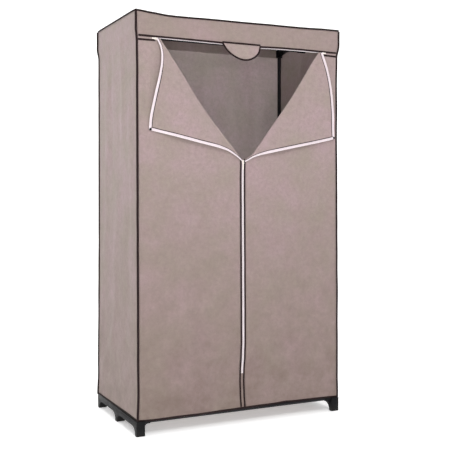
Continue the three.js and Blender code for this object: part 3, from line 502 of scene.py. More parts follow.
def drop_of(x, y):
    """How far the top edge and the top panel lie under the level of the corner seams."""
    u = min(1.0, max(0.0, 0.5 + 0.5 * x / (body_x + band_step)))
    v = min(1.0, max(0.0, 0.5 + 0.5 * y / (body_y + band_step)))
    across = (1 - v) * read_off(front_edge, x) + v * read_off(back_edge, x)
    along = (1 - u) * read_off(left_edge, y) + u * read_off(right_edge, y)
    ends = ((1 - u) * (1 - v) * front_edge[0][1] + u * (1 - v) * front_edge[-1][1]
            + (1 - u) * v * back_edge[0][1] + u * v * back_edge[-1][1])
    return ends - across - along


# The corners aren't quite upright: how far the right-hand and the rear left ones stray, by height.
right_stray = [(0.058, 0.005), (0.1, 0.0066), (0.2, 0.008), (0.35, 0.007), (0.55, 0.0058),
               (0.75, 0.0032), (0.95, 0.0012), (1.15, -0.0014), (1.3, -0.0021), (1.45, -0.0022),
               (1.6, -0.0024)]
rear_left_stray = [(0.058, -0.0052), (0.2, -0.0065), (0.45, -0.0035), (0.8, -0.0006), (1.2, 0.0012),
                   (1.45, 0.0024), (1.5, 0.0028), (1.54, 0.0056), (1.6, 0.0056)]


def leaned(place):
    back = min(1.0, max(0.0, 0.5 + 0.5 * place.y / body_y))
    if place.x > 0:
        stray = read_off(right_stray, place.z) * (1 - 0.4 * back)
    else:
        stray = read_off(rear_left_stray, place.z) * back
    place.x += stray * min(1.0, abs(place.x) / body_x)
    return place


def tremble(size, *at):
    """The small unevenness of hand-fed sewing."""
    return size * noise.noise(Vector(at))


def crumple(a, b, seed, broad=0.0022):
    """Slack of hung cloth: wide soft swells, and small dents between them."""
    dents = noise.fractal(Vector((a / 0.055, b / 0.06, seed + 7.3)), 0.9, 2.0, 3)
    return tremble(broad, a / 0.16, b / 0.24, seed) + 0.0005 * dents


def creases(a, b, lines):
    """Ridges (or valleys, with a negative rise) along straight lines that fade out at their ends."""
    total = 0.0
    for a0, b0, a1, b1, wide, rise in lines:
        run_a, run_b = a1 - a0, b1 - b0
        run = math.hypot(run_a, run_b)
        along = ((a - a0) * run_a + (b - b0) * run_b) / run
        off = ((a - a0) * run_b - (b - b0) * run_a) / run
        bend = 0.25 * wide * math.sin(along / (1.7 * wide))
        fade = eased(-0.6 * wide, 1.4 * wide, along) * eased(-0.6 * wide, 1.4 * wide, run - along)
        total += rise * fade * math.exp(-((off + bend) / wide) ** 2)
    return total


def flat_mapped(name, points, flats, quads):
    """A mesh whose UV map holds each point's place on the flat cloth, in metres."""
    data = bpy.data.meshes.new(name)
    data.from_pydata(points, [], quads)
    flat_map = data.uv_layers.new(name="cloth")
    for loop in data.loops:
        flat_map.data[loop.index].uv = flats[loop.vertex_index]
    return data


def cloth_grid(name, across, up, spot, outward):
    """A sheet from its outer face: spot(a, b) gives a place and its flat place on the cloth."""
    columns = len(across)
    points, flats = zip(*(spot(a, b) for b in up for a in across))
    quads = [(i * columns + j, i * columns + j + 1, (i + 1) * columns + j + 1, (i + 1) * columns + j)
             for i in range(len(up) - 1) for j in range(columns - 1)]
    middle = quads[len(quads) // 2]
    facing = (points[middle[1]] - points[middle[0]]).cross(points[middle[3]] - points[middle[0]])
    if facing.dot(Vector(outward)) < 0:
        quads = [tuple(reversed(quad)) for quad in quads]
    piece = in_scene(name, flat_mapped(name, points, flats, quads))
    piece.data.shade_smooth()
    body = piece.modifiers.new("cloth", "SOLIDIFY")
    body.thickness = cloth_thick
    body.offset = -1
    return settled(piece)


def hung(piece, flat, held, rests_on, *nodes, body="root", area=None):
    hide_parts(*nodes)
    dressed(piece, cover_cloth, body=body)
    return piece


def seam_hold(share, length):
    """Nought at both seams of a panel, and one beyond a hand's width from them."""
    return eased(0, seam_reach / length, share) * eased(0, seam_reach / length, 1 - share)


side_creases = [
    (-0.15, 0.62, -0.12, 1.4, 0.026, 0.003), (-0.06, 1.02, -0.085, 1.52, 0.022, -0.0026),
    (-0.05, 0.24, 0.01, 0.98, 0.032, 0.003), (0.085, 1.12, 0.05, 1.53, 0.024, 0.0034),
    (0.11, 0.3, 0.15, 0.95, 0.03, -0.0028), (0.175, 0.8, 0.15, 1.3, 0.022, 0.0024),
    (-0.19, 0.16, -0.05, 0.36, 0.022, 0.0024), (0.02, 0.12, 0.17, 0.26, 0.024, 0.0022),
    (-0.16, 1.3, 0.03, 1.12, 0.02, 0.0014),
]
back_creases = [
    (-0.33, 0.3, -0.31, 1.5, 0.03, 0.0042), (-0.2, 0.6, -0.22, 1.52, 0.024, -0.0034),
    (-0.07, 0.2, -0.1, 1.45, 0.032, 0.0044), (0.06, 0.8, 0.05, 1.53, 0.024, 0.0036),
    (0.19, 0.25, 0.21, 1.4, 0.03, -0.0036), (0.32, 0.5, 0.3, 1.52, 0.028, 0.0044),
    (-0.25, 0.14, 0.05, 0.26, 0.024, 0.0024),
]
seam_top_z = bead_z - bead_room
panel_x = body_x - bead_room
panel_y = body_y - bead_room


def wall_spot(a, v, edge_at, seed, lines, share, wide, turn=1):
    """The height of a point of a side or back panel, and how far it stands out. a is along it, v up it."""
    z = hem_z + (seam_top_z - drop_of(*edge_at) - hem_z) * v
    hold = seam_hold(share, wide) * eased(0, 0.05, v) * (1 - 0.75 * eased(0.955, 0.975, v))
    return z, cloth_proud + stands_out(z) + hold * (crumple(a, z, seed) + creases(turn * a, z, lines))


def side_spot(side, y, v):
    z, out = wall_spot(y, v, (side * (body_x + band_step), y), 3.1 + side, side_creases, y / 0.471 + 0.5,
                       0.48, side)
    return leaned(Vector((side * (body_x + out), y * (panel_y + stands_out(z)) / panel_y, z))), (y, z)


def back_spot(x, v):
    z, out = wall_spot(x, v, (x, body_y + band_step), 11.7, back_creases, x / (2 * panel_x) + 0.5, 0.88)
    return leaned(Vector((x * (panel_x + stands_out(z)) / panel_x, body_y + out, z))), (x, z)


def top_spot(x, y):
    inside = eased(0, 0.16, body_x - abs(x)) * eased(0, 0.12, body_y - abs(y))
    low = 0.0035 * inside - inside * crumple(x, y, 21.4, 0.002)
    return leaned(Vector((x, y, bead_z + cloth_proud - drop_of(x, y) - low))), (x, y)


for name, side in both_sides:
    piece = cloth_grid("side_cloth_" + name, evenly(-panel_y, panel_y, 68), evenly(0, 1, 200),
                       lambda y, v: side_spot(side, y, v), (side, 0, 0))
    hung(piece, (0.485, 1.535), "hung", ["head_tube_" + name], "cover_side_" + name)
piece = cloth_grid("back_cloth", evenly(-panel_x, panel_x, 112), evenly(0, 1, 190), back_spot, (0, 1, 0))
hung(piece, (0.885, 1.535), "hung", ["head_tube_rear"], "cover_back")
top_x = panel_x + band_step
top_y = panel_y + band_step
piece = cloth_grid("top_cloth", evenly(-top_x, top_x, 120), evenly(-top_y, top_y, 66), top_spot, (0, 0, 1))
hung(piece, (0.885, 0.485), "stretched", ["corner_moulding_front_left", "corner_moulding_rear_right"],
     "cover_top")

# Base panel: a loose piece of the same cloth that lies on the two cross tubes and keeps dust off
# whatever stands at the bottom.
floor_half_x = 0.3917
floor_half_y = 0.2395
floor_z = 0.0632
floor_sag = 0.0045
floor_columns = 90
floor_rows = 56


def floor_spot(j, i):
    u, v = j / (floor_columns - 1), i / (floor_rows - 1)
    x, y = floor_half_x * (2 * u - 1), floor_half_y * (2 * v - 1)
    sag = floor_sag * math.sin(math.pi * v) ** 2 * eased(0, 0.1, 1 - abs(2 * u - 1))
    return Vector((x, y, floor_z - sag + tremble(0.0006, j / 9, i / 9, 4.2))), (x, y)


piece = cloth_grid("floor_cloth", range(floor_columns), range(floor_rows), floor_spot, (0, 0, 1))
hung(piece, (0.783, 0.479), "laid", ["cross_tube_front", "cross_tube_rear"], "base_panel")

# Tube casing: a strip of the cover's cloth that hangs from the top seam in front of the rear top
# tube, so that no tube shows at the back of the opening.
casing_half_x = 0.407
casing_y = 0.2192
casing_foot_z = 1.549
casing_height = 0.039
casing_columns = 100
casing_rows = 10


def casing_spot(j, i):
    v = i / (casing_rows - 1)
    x, up = casing_half_x * (2 * j / (casing_columns - 1) - 1), casing_height * v
    return Vector((x, casing_y + tremble(0.0006, j / 11, i / 5, 6.1),
                   casing_foot_z + tremble(0.0012, j / 9, 0, 2.2) * (1 - v) + up)), (x, up)


piece = cloth_grid("tube_casing_rear", range(casing_columns), range(casing_rows), casing_spot, (0, -1, 0))
hung(piece, (0.814, 0.04), "hung", ["head_tube_rear"])
# Two layers with a tube behind them, so that less light passes through than does elsewhere.
double_cloth = cover_cloth.copy()
double_cloth.name = "two_layers_of_cover_cloth"
feed(double_cloth.node_tree.nodes["Principled BSDF"], {"Subsurface Weight": 0.1})
piece.data.materials[0] = double_cloth

# Valance: the front of the top band, from the top seam down to the binding over the zip, which
# sags a few millimetres in the middle.
valance_foot_z = 1.5028
zip_half = 0.3717
zip_end_held = 0.366
line_sag = [(-0.44, 0.0), (-0.25, -0.0008), (-0.135, -0.0016), (-0.04, -0.0028), (0.022, -0.004),
            (0.076, -0.0053), (0.131, -0.0034), (0.243, -0.0016), (0.44, -0.003)]


def sagged(x, z):
    """The height of a point on a line along the zip, which is held level by the sliders at its ends."""
    held = eased(0, 0.04, abs(abs(x) - zip_end_held))
    return z + read_off(line_sag, x) * (held if z < 1.5024 else 1.0)


def front_y(z, lift=0.0):
    return -body_y - cloth_proud - stands_out(z) - lift


def valance_spot(x, v):
    top = seam_top_z - drop_of(x, -body_y - band_step)
    foot = sagged(x, valance_foot_z)
    z = foot + (top - foot) * v
    half = (body_x + stands_out(z) - bead_room) / panel_x
    slack = math.sin(math.pi * v) * tremble(0.0012, x / 0.07, z / 0.05, 8.8)
    slack *= seam_hold(x / (2 * panel_x) + 0.5, 0.88)
    return leaned(Vector((x * half, front_y(z, slack), z))), (x, z)


piece = cloth_grid("valance_cloth", evenly(-panel_x, panel_x, 132), evenly(0, 1, 16), valance_spot,
                   (0, -1, 0))
hung(piece, (0.885, 0.09), "hung", ["head_tube_front"], "valance")

# Doors: a left and a right front panel, sewn to the corner seams and closed by the centre zip.
# Above the slider each ends at the line on which its free corner is folded out.
zip_foot_z = 0.2
junction_z = 1.05
zip_z = 1.498
door_head_z = 1.4935
fold_gap = 0.0006
zip_end_x = 0.3727
tape_reach = 0.01205
# The centre zip isn't quite straight: how far it wanders, in millimetres, by height.
wander = [(0.05, 0.6), (0.12, -2.2), (0.17, -3.5), (0.21, -2.4), (0.27, 1.4), (0.33, 3.2), (0.45, 2.6),
          (0.62, 1.6), (0.8, 0.4), (0.95, -0.5), (1.05, 0.0), (1.6, 0.0)]
# Where the fold of each door's corner lies, out from the middle, by height. Neither is straight, and
# the right one is slack near the slider.
fold_lines = {
    -1: [(1.05, 0.006), (1.06, 0.016), (1.0716, 0.0265), (1.1, 0.051), (1.2385, 0.17),
         (1.35, 0.2482), (1.44, 0.3112), (1.498, 0.354)],
    1: [(1.05, 0.01), (1.056, 0.021), (1.062, 0.031), (1.0732, 0.046), (1.1, 0.0672),
        (1.2, 0.143), (1.3008, 0.219), (1.4, 0.285), (1.46, 0.324), (1.498, 0.353)],
}
door_creases = {
    -1: [(-0.4, 1.1, -0.36, 0.4, 0.03, 0.0022), (-0.07, 0.62, -0.3, 0.22, 0.026, 0.0022),
         (-0.05, 0.4, -0.2, 0.13, 0.018, 0.002), (-0.33, 0.95, -0.1, 0.8, 0.045, -0.0036),
         (-0.4, 0.3, -0.24, 0.12, 0.022, -0.0024), (-0.22, 1.0, -0.18, 0.3, 0.04, -0.0042),
         (-0.06, 0.98, -0.12, 0.7, 0.022, 0.0018), (-0.41, 0.75, -0.26, 0.55, 0.03, 0.0018),
         (-0.412, 1.47, -0.408, 1.22, 0.01, -0.0034), (-0.385, 1.48, -0.392, 1.28, 0.009, 0.002)],
    1: [(0.42, 0.33, 0.2, 0.44, 0.018, 0.0024), (0.42, 0.24, 0.1, 0.2, 0.02, -0.0028),
        (0.05, 0.8, 0.16, 0.45, 0.028, 0.0022), (0.4, 0.95, 0.24, 0.5, 0.036, -0.004),
        (0.06, 0.3, 0.3, 0.14, 0.02, 0.0022), (0.3, 1.05, 0.12, 0.75, 0.04, 0.0022),
        (0.41, 0.62, 0.3, 0.72, 0.022, 0.002), (0.22, 0.9, 0.2, 0.25, 0.04, -0.0036),
        (0.418, 1.48, 0.422, 1.2, 0.01, -0.0034), (0.43, 0.335, 0.34, 0.345, 0.012, -0.003),
        (0.03, 0.33, 0.24, 0.31, 0.016, -0.0026)],
}
# The hem isn't level along the front: how far it is above its height at the corners.
hem_rise = [(-0.444, -0.0015), (-0.413, -0.0034), (-0.352, -0.0042), (-0.27, -0.0038), (-0.187, -0.0046),
            (-0.1, -0.0023), (0.075, 0.0002), (0.15, 0.001), (0.192, 0.0036), (0.228, 0.002),
            (0.26, 0.0015), (0.375, 0.0), (0.444, -0.001)]


def centre_line(z):
    for (z0, x0), (z1, x1) in zip(wander, wander[1:]):
        if z <= z1:
            return (x0 + (x1 - x0) * eased(z0, z1, z)) / 1000
    return 0.0


def fold_x(side, z):
    return read_off(fold_lines[side], z)


def door_inner(side, z):
    if z < zip_foot_z:
        return (tape_reach if side > 0 else -tape_reach + 0.0003) + side * centre_line(z)
    if z >= door_head_z:
        return zip_end_x
    zipped = tape_reach + side * centre_line(z)
    return zipped if z <= junction_z else max(zipped, fold_x(side, z) + fold_gap)


def hem_lift(x, y):
    return read_off(hem_rise, x) * eased(0.15, 0.235, -y)


def door_spot(side, z, share):
    outer = body_x + stands_out(z) - bead_room
    inner = door_inner(side, z)
    x = side * (outer + (inner - outer) * share)
    wide = abs(outer - inner)
    hold = eased(0, 0.055, share * wide) * eased(0.006, 0.06, (1 - share) * wide) * eased(0, 0.05, z - hem_z)
    hold *= 1 - eased(1.42, 1.49, z)
    loose = 1 - eased(0.95, 1.04, z)
    slack = crumple(x, z, 31.0 + side, 0.0024) + (1 + 0.9 * loose) * creases(x, z, door_creases[side])
    lifted = z + hem_lift(x, -body_y) * (1 - eased(hem_z, 0.13, z))
    return leaned(Vector((x, front_y(z, hold * min(0.0026 + 0.003 * loose, slack)), lifted))), (x, z)


door_rows = [*evenly(hem_z, zip_foot_z - 0.0003, 19), *evenly(zip_foot_z, door_head_z - 0.0006, 177),
             *(door_head_z + 0.003 * i for i in range(4))]
for name, side in both_sides:
    piece = cloth_grid("door_cloth_" + name, evenly(0, 1, 66), door_rows,
                       lambda share, z: door_spot(side, z, share), (0, -1, 0))
    hung(piece, (0.44, 1.444), "hung", ["valance_cloth", "clothes_rail"], "door_" + name, area=0.515)


# Bindings: dark brown woven polyester tape, 7 mm wide where it shows. It is folded round the cut
# edges of the cloth and sewn through, so each corner seam stands up as a soft ridge.
def woven_tape(name, slot, weave, wear_scale, shades, rib_share, dull, strength, **constants):
    """A ribbed tape. weave is the slant of its ribs in degrees, their scale and how they wander."""
    made, tree, shader = new_finish(name, slot, IOR=1.5, Sheen_Roughness=0.4, **constants)
    place = add(tree, "UVMap", uv_map="cloth")
    slanted = add(tree, "Mapping", {"Vector": place, "Rotation": (0, 0, math.radians(weave[0]))})
    ribs = add(tree, "TexWave", {"Vector": slanted, "Scale": weave[1], "Distortion": weave[2], "Detail": 1.0})
    wear = add(tree, "TexNoise", {"Vector": place, "Scale": wear_scale, "Detail": 4.0})
    ribbed = add(tree, "MapRange", {"Value": ribs.outputs["Fac"], 1: 0.0, 2: 1.0, 3: 0.0, 4: rib_share})
    shade = add(tree, "Mix", {0: wear, 6: linear(shades[0]), 7: linear(shades[1])}, data_type="RGBA")
    shade = add(tree, "Mix", {0: ribbed, 6: shade, 7: linear(shades[2])}, data_type="RGBA")
    surface(shader, shade, wear, *dull, ribs.outputs["Fac"], strength, 0.0002)
    return made


# Ribs of the weave run across the tape 0.5 mm apart, and are drawn 1 mm apart.
binding = woven_tape("woven_polyester_binding", "binding_tape", (0, 160.0, 0.6), 55.0,
                     ("#1b1112", "#2c1f1f", "#120b0b"), 0.35, (0.72, 0.88), 0.5, Specular_IOR_Level=0.12,
                     Sheen_Weight=0.02)


def swept(name, path, section, out_at=lambda i: front, closed=False, width_at=lambda i: 1.0):
    """A strip or bead: a closed section of (side, out) pairs carried along a path."""
    count = len(path)
    sides = len(section)
    points = []
    flats = []
    run = 0.0
    around = [0.0]
    for a, b in zip(section, section[1:] + section[:1]):
        around.append(around[-1] + math.dist(a, b))
    for i, here in enumerate(path):
        before = path[i - 1] if (i > 0 or closed) else here
        after = path[(i + 1) % count] if (i < count - 1 or closed) else here
        tangent = (after - before).normalized()
        out = out_at(i)
        out = (out - tangent * out.dot(tangent)).normalized()
        side = tangent.cross(out)
        run += (here - path[i - 1]).length if i else 0.0
        for step, (a, b) in enumerate(section):
            points.append(here + side * a * width_at(i) + out * b)
            flats.append((run, around[step]))
    quads = []
    for i in range(count if closed else count - 1):
        j = (i + 1) % count
        for a in range(sides):
            b = (a + 1) % sides
            quads.append((i * sides + a, j * sides + a, j * sides + b, i * sides + b))
    if not closed:
        quads.append(tuple(range(sides)))
        quads.append(tuple((count - 1) * sides + a for a in reversed(range(sides))))
    data = flat_mapped(name, points, flats, quads)
    shape = bmesh.new()
    shape.from_mesh(data)
    bmesh.ops.recalc_face_normals(shape, faces=shape.faces)
    shape.to_mesh(data)
    shape.free()
    return smoothed(in_scene(name, data), 60)


def round_section(half_side, half_out, sides=14):
    turns = [2 * math.pi * i / sides for i in range(sides)]
    return [(half_side * math.cos(turn), half_out * math.sin(turn)) for turn in turns]


def tape_section(wide, thick, lift=0.0):
    """A flat folded tape: rounded at both edges and very slightly crowned."""
    half = wide / 2
    rim = min(thick * 0.45, 0.0006)
    rising = [(-half, lift + 0.0001), (-half, lift + thick - rim), (-half + rim, lift + thick),
              (-half * 0.4, lift + thick + 0.00015)]
    return rising + [(-a, b) for a, b in reversed(rising)]


def straight(start, end, step=0.012):
    count = max(2, int((end - start).length / step) + 1)
    return [start.lerp(end, i / (count - 1)) for i in range(count)]


def rectangle(half_x, half_y, level, radius=0.004, step=0.012):
    """Points round the cover, with small round corners. level(x, y) gives the height."""
    points = []
    for x, y, turn in [(1, -1, -90), (1, 1, 0), (-1, 1, 90), (-1, -1, 180)]:
        for k in range(5):
            angle = math.radians(turn + 22.5 * k)
            points.append(Vector((x * (half_x - radius) + radius * math.cos(angle),
                                  y * (half_y - radius) + radius * math.sin(angle), 0)))
    path = []
    for start, end in zip(points, points[1:] + points[:1]):
        count = max(1, int((end - start).length / step))
        path += [start.lerp(end, i / count) for i in range(count)]
    for point in path:
        point.z = level(point.x, point.y)
        leaned(point)
    return path


front = Vector((0, -1, 0))
bead_width = 0.0044
# The bead at the rear left hangs a little clear of the corner, and most near its top.
rear_left_clear = 0.0014
for name, (x, y) in corners.items():
    top = seam_top_z - drop_of(x * (body_x + band_step), y * (body_y + band_step))
    clear = rear_left_clear if name == "rear_left" else 0.0
    path = []
    for z in evenly(hem_z, top, 151):
        out_x = body_x + stands_out(z) + clear * (1 + 180 * stands_out(z)) + tremble(0.001, x, y, z / 0.11)
        out_y = body_y + stands_out(z) + tremble(0.001, x + 5, y, z / 0.11)
        path.append(leaned(Vector((x * out_x, y * out_y, z))))
    piece = swept("corner_binding_" + name, path, round_section(bead_width, bead_width),
                  lambda i: Vector((x, y, 0)).normalized())
    dressed(piece, binding, "edge_binding_" + name)

ring = rectangle(body_x + band_step, body_y + band_step,
                 lambda x, y: bead_z - drop_of(x, y) + tremble(0.0004, x / 0.03, y / 0.03, 0.5))
piece = swept("top_seam_binding", ring, round_section(0.0034, 0.0036), closed=True, out_at=lambda i: Vector(
    (ring[i].x / 0.45, ring[i].y / 0.25, 0)).normalized() * 0.001 + upwards)
dressed(piece, binding, "top_binding")

hem_out = 0.0031
hem_half = 0.0035
hem = rectangle(body_x + hem_out, body_y + hem_out, lambda x, y: hem_z + hem_half
                + hem_lift(x, y) + tremble(0.0006, x / 0.12, y / 0.12, 2.5), radius=0.006)


def away(point):
    """The way out of the cover at a point on its hem."""
    flat_x = abs(point.x) > body_x - hem_out
    flat_y = abs(point.y) > body_y - hem_out
    return Vector((math.copysign(1, point.x) * flat_x, math.copysign(1, point.y) * flat_y, 0)).normalized()


hem_section = [(-hem_half, -0.0012), (-hem_half, 0.0018), (-0.003, 0.0024), (0.0, 0.0026),
               (0.003, 0.0024), (hem_half, 0.0018), (hem_half, -0.0012)]
dressed(swept("hem_tape", hem, hem_section, lambda i: away(hem[i]), closed=True), binding, "hem_binding")


def on_front(x, z, level, lift=0.0):
    """A point in front of the cloth, with the height that it would have on a cover without sags."""
    return leaned(Vector((x, front_y(level, lift), z)))


flat_tape = tape_section(0.0074, 0.001)
front_half = 0.436
valance_line_z = 1.506
door_top_line_z = 1.491
# The right-hand one of the two short bindings lies lower.
short_drop = {-1: 0.0, 1: -0.0024}
inner_ends = {-1: -0.3675, 1: 0.373}
beside_zip = 0.00825
beside_zip_foot_z = 0.0656
beside_zip_head_z = 1.0545
path = [on_front(x, sagged(x, valance_line_z) + tremble(0.0005, x / 0.05, 0, 3), valance_line_z)
        for x in evenly(-front_half, front_half, 91)]
dressed(swept("zip_top_binding", path, flat_tape), binding, "valance_binding")
for name, side in both_sides:
    drop = short_drop[side]
    path = straight(on_front(side * front_half, door_top_line_z + drop, door_top_line_z),
                    on_front(inner_ends[side], door_top_line_z + 0.0006 + drop / 2, door_top_line_z))
    dressed(swept("zip_end_binding_" + name, path, flat_tape), binding, "door_top_binding_" + name)
    path = [Vector((side * beside_zip + centre_line(z) + tremble(0.0004, side, 0, z / 0.06), front_y(z), z))
            for z in evenly(beside_zip_foot_z, beside_zip_head_z, 111)]
    dressed(swept("zip_side_binding_" + name, path, flat_tape), binding, "centre_binding_" + name)

# Zips: white nylon coil zips on white woven tape. The top one is open, so only its upper half
# still runs along the valance; the centre one is closed below the slider.
# Herringbone of the tape, 1.2 mm a rib.
zip_tape = woven_tape("white_woven_zip_tape", "zip_tape", (35, 130.0, 0.4), 38.0,
                      ("#d4c7cb", "#c2b3b9", "#c9bcc0"), 0.14, (0.7, 0.85), 0.4, Sheen_Weight=0.15)


def clouded(name, slot, scale, detail, one, other, **constants):
    """A plain finish whose colour drifts between two shades."""
    made, tree, shader = new_finish(name, slot, **constants)
    place = add(tree, "TexCoord").outputs["Object"]
    cloud = add(tree, "TexNoise", {"Vector": place, "Scale": scale, "Detail": detail})
    shade = add(tree, "Mix", {0: cloud, 6: linear(one), 7: linear(other)}, data_type="RGBA")
    feed(shader, {"Base Color": shade})
    return made


nylon = clouded("white_nylon_coil", "zip_tape", 300.0, 2.0, "#f6f3f2", "#dfd9d8", IOR=1.53, Roughness=0.34)


def row_of_beads(name, axis, segments, rings, **extra):
    """A geometry tree that sets rounded beads along a curve, their axis along it. If it has inputs
    Offset and Face, a bead is moved off the curve and turned to a face as well."""
    tree, given, result = growing(name, Pitch="Float", Size="Vector", Finish="Material", **extra)
    stops = add(tree, "GeometryNodeResampleCurve", {"Curve": given["Geometry"], "Length": given["Pitch"]},
                mode="LENGTH")
    ball = add(tree, "GeometryNodeMeshUVSphere", {"Segments": segments, "Rings": rings, "Radius": 1.0})
    bead = add(tree, "GeometryNodeTransform", {"Geometry": ball, "Scale": given["Size"]})
    run_of = add(tree, "GeometryNodeInputTangent")
    turn = add(tree, "FunctionNodeAlignRotationToVector", {"Vector": run_of}, axis=axis)
    if extra:
        feed(bead, {"Translation": given["Offset"]})
        turn = add(tree, "FunctionNodeAlignRotationToVector", {"Rotation": turn, "Vector": given["Face"]},
                   axis="Z", pivot_axis="X")
    row = add(tree, "GeometryNodeInstanceOnPoints", {"Points": stops, "Instance": bead, "Rotation": turn})
    real = add(tree, "GeometryNodeRealizeInstances", {"Geometry": row})
    rounded = add(tree, "GeometryNodeSetShadeSmooth", {"Geometry": real})
    made_of = add(tree, "GeometryNodeSetMaterial", {"Geometry": rounded, "Material": given["Finish"]})
    feed(result, {"Geometry": made_of})
    return tree


coil_teeth = row_of_beads("coil_teeth", "X", 8, 5, Offset="Vector", Face="Vector")


def in_rows(name, runs, tree, values, body="root"):
    """Repeats a small shape along lines of points, and keeps one mesh on one body."""
    guide = bpy.data.curves.new(name + "_guide", "CURVE")
    guide.dimensions = "3D"
    for run in runs:
        spline = guide.splines.new("POLY")
        spline.points.add(len(run) - 1)
        for point, place in zip(spline.points, run):
            point.co = (*place, 1)
    carrier = driven(in_scene(name + "_guide", guide), tree, values)
    data = final_mesh(carrier)
    bpy.data.objects.remove(carrier)
    data.name = name
    return dressed(in_scene(name, data), values["Finish"], body=body)


tooth_pitch = 0.0021
tooth_size = (0.00072, 0.00135, 0.0011)
tooth_in = 0.0004


def toothed(name, run, inward, body="root"):
    """Coil along a tape's edge. inward is +1 or -1: the side of the run that the tape is on."""
    in_rows(name, [run], coil_teeth, {"Pitch": tooth_pitch, "Size": tooth_size, "Finish": nylon, "Offset":
                                      (0.0, tooth_in * inward, 0.0), "Face": (0.0, -1.0, 0.0)}, body)


zip_middle_y = -0.2405
zip_start_x = -0.365
tape_thick = 0.0011
top_tape_width = 0.0085
top_tape_up = 0.0068
top_coil_up = 0.0022
centre_tape_width = 0.0098
centre_tape_out = 0.0066
centre_coil_out = 0.00085
centre_coil_proud = 0.0004
centre_end_gap = 0.0003
zip_run = evenly(zip_start_x, zip_half, 81)
path = [Vector((x, zip_middle_y, sagged(x, zip_z) + top_tape_up)) for x in zip_run]
piece = swept("top_zip_tape", path, tape_section(top_tape_width, tape_thick, -tape_thick / 2))
dressed(piece, zip_tape, "zip_tape_top")
toothed("top_zip_coil", [Vector((x, zip_middle_y, sagged(x, zip_z) + top_coil_up)) for x in zip_run], 1)
for name, side in both_sides:
    levels = evenly(zip_foot_z + centre_end_gap, junction_z - centre_end_gap, 111)
    path = [Vector((side * centre_tape_out + centre_line(z), zip_middle_y - stands_out(z), z))
            for z in levels]
    piece = swept("centre_zip_tape_" + name, path,
                  tape_section(centre_tape_width, tape_thick, -tape_thick / 2))
    dressed(piece, zip_tape, "zip_tape_centre_" + name)
    # The teeth of one half stand between those of the other.
    shift = tooth_pitch / 2 if side > 0 else 0.0
    path = [Vector((side * centre_coil_out + centre_line(z + shift), zip_middle_y - centre_coil_proud,
                    z + shift)) for z in levels[:-1]]
    toothed("centre_zip_coil_" + name, path, side)

# Flaps: the free upper corners of the doors, unzipped, folded out round a soft roll of cloth and
# pressed to the doors by a stud. The inner face of the cloth shows, edged with half of the zip.
flap_y = -0.2469
fold_axis_y = -0.2437
fold_top_x = 0.366
roll = 0.0032
roll_steps = 6
spans = 26
rim_step = 0.0064
edge_tape = 0.0106
edge_tape_lift = 0.0004
flap_coil_lift = 0.0009
edge_overlap = 0.0006
inner_binding = 0.0036
flap_tape_thick = 0.001
start_width = {-1: 0.6, 1: 0.95}
rims = {}
# The middle of the edge tape, from the end of the top zip to the stud, and on to the slider.
flap_edges = {
    -1: ([(-0.362, 1.4985), (-0.3475, 1.4677), (-0.344, 1.4318), (-0.3552, 1.359), (-0.3722, 1.2864),
          (-0.3865, 1.2142), (-0.3915, 1.16)],
         [(-0.3915, 1.16), (-0.374, 1.1565), (-0.1945, 1.1184), (-0.0768, 1.0915), (-0.027, 1.065),
          (-0.0066, 1.049)]),
    1: ([(0.361, 1.4985), (0.3815, 1.4292), (0.4005, 1.3458), (0.411, 1.2617), (0.4195, 1.1605),
         (0.4215, 1.1512)],
        [(0.4215, 1.1512), (0.403, 1.1455), (0.104, 1.0828), (0.045, 1.065), (0.019, 1.0515),
         (0.0066, 1.0455)]),
}


def through(points, count):
    """A smooth line through points, in equal steps of its own length."""
    places = [Vector((x, 0, z)) for x, z in points]
    ends = [places[0] * 2 - places[1], *places, places[-1] * 2 - places[-2]]
    fine = []
    for a, b, c, d in zip(ends, ends[1:], ends[2:], ends[3:]):
        run = (c - b).length
        leave = (c - a) * (run / ((b - a).length + run))
        arrive = (d - b) * (run / ((d - c).length + run))
        fine += [curve_share(i / 24, b, c, leave, arrive) for i in range(24)]
    fine.append(places[-1])
    runs = [0.0]
    for a, b in zip(fine, fine[1:]):
        runs.append(runs[-1] + (b - a).length)
    line = []
    spot = 0
    for want in evenly(0, runs[-1], count):
        while spot < len(fine) - 2 and runs[spot + 1] < want:
            spot += 1
        share = (want - runs[spot]) / max(1e-9, runs[spot + 1] - runs[spot])
        line.append(fine[spot].lerp(fine[spot + 1], min(1.0, share)))
    return line


def flap_face(side, x, z):
    """Where the middle of the folded cloth stands, in front of the door."""
    off = 0.77 * max(0.0, side * x - fold_x(side, z))
    free = eased(0.0, 0.06, off) * eased(0.02, 0.12, math.dist((x, z), flap_edges[side][1][0]))
    swell = 0.0082 + tremble(0.0018, x / 0.1, z / 0.12, 40 + side)
    swell += creases(x, z, [(side * 0.34, 1.44, side * 0.33, 1.2, 0.024, 0.0026),
                            (side * 0.3, 1.38, side * 0.14, 1.13, 0.03, 0.002)])
    return flap_y - free * swell


def on_flap(side, distances, lift):
    """The flap's rim moved towards the inside of the flap, by a distance for each point, and lifted."""
    line = rims[side]
    moved = []
    for i, here in enumerate(line):
        tangent = (line[min(i + 1, len(line) - 1)] - line[max(i - 1, 0)]).normalized()
        point = here + Vector((side * tangent.z, 0, -side * tangent.x)) * distances[i]
        moved.append(Vector((point.x, flap_face(side, point.x, point.z) - lift, point.z)))
    return moved


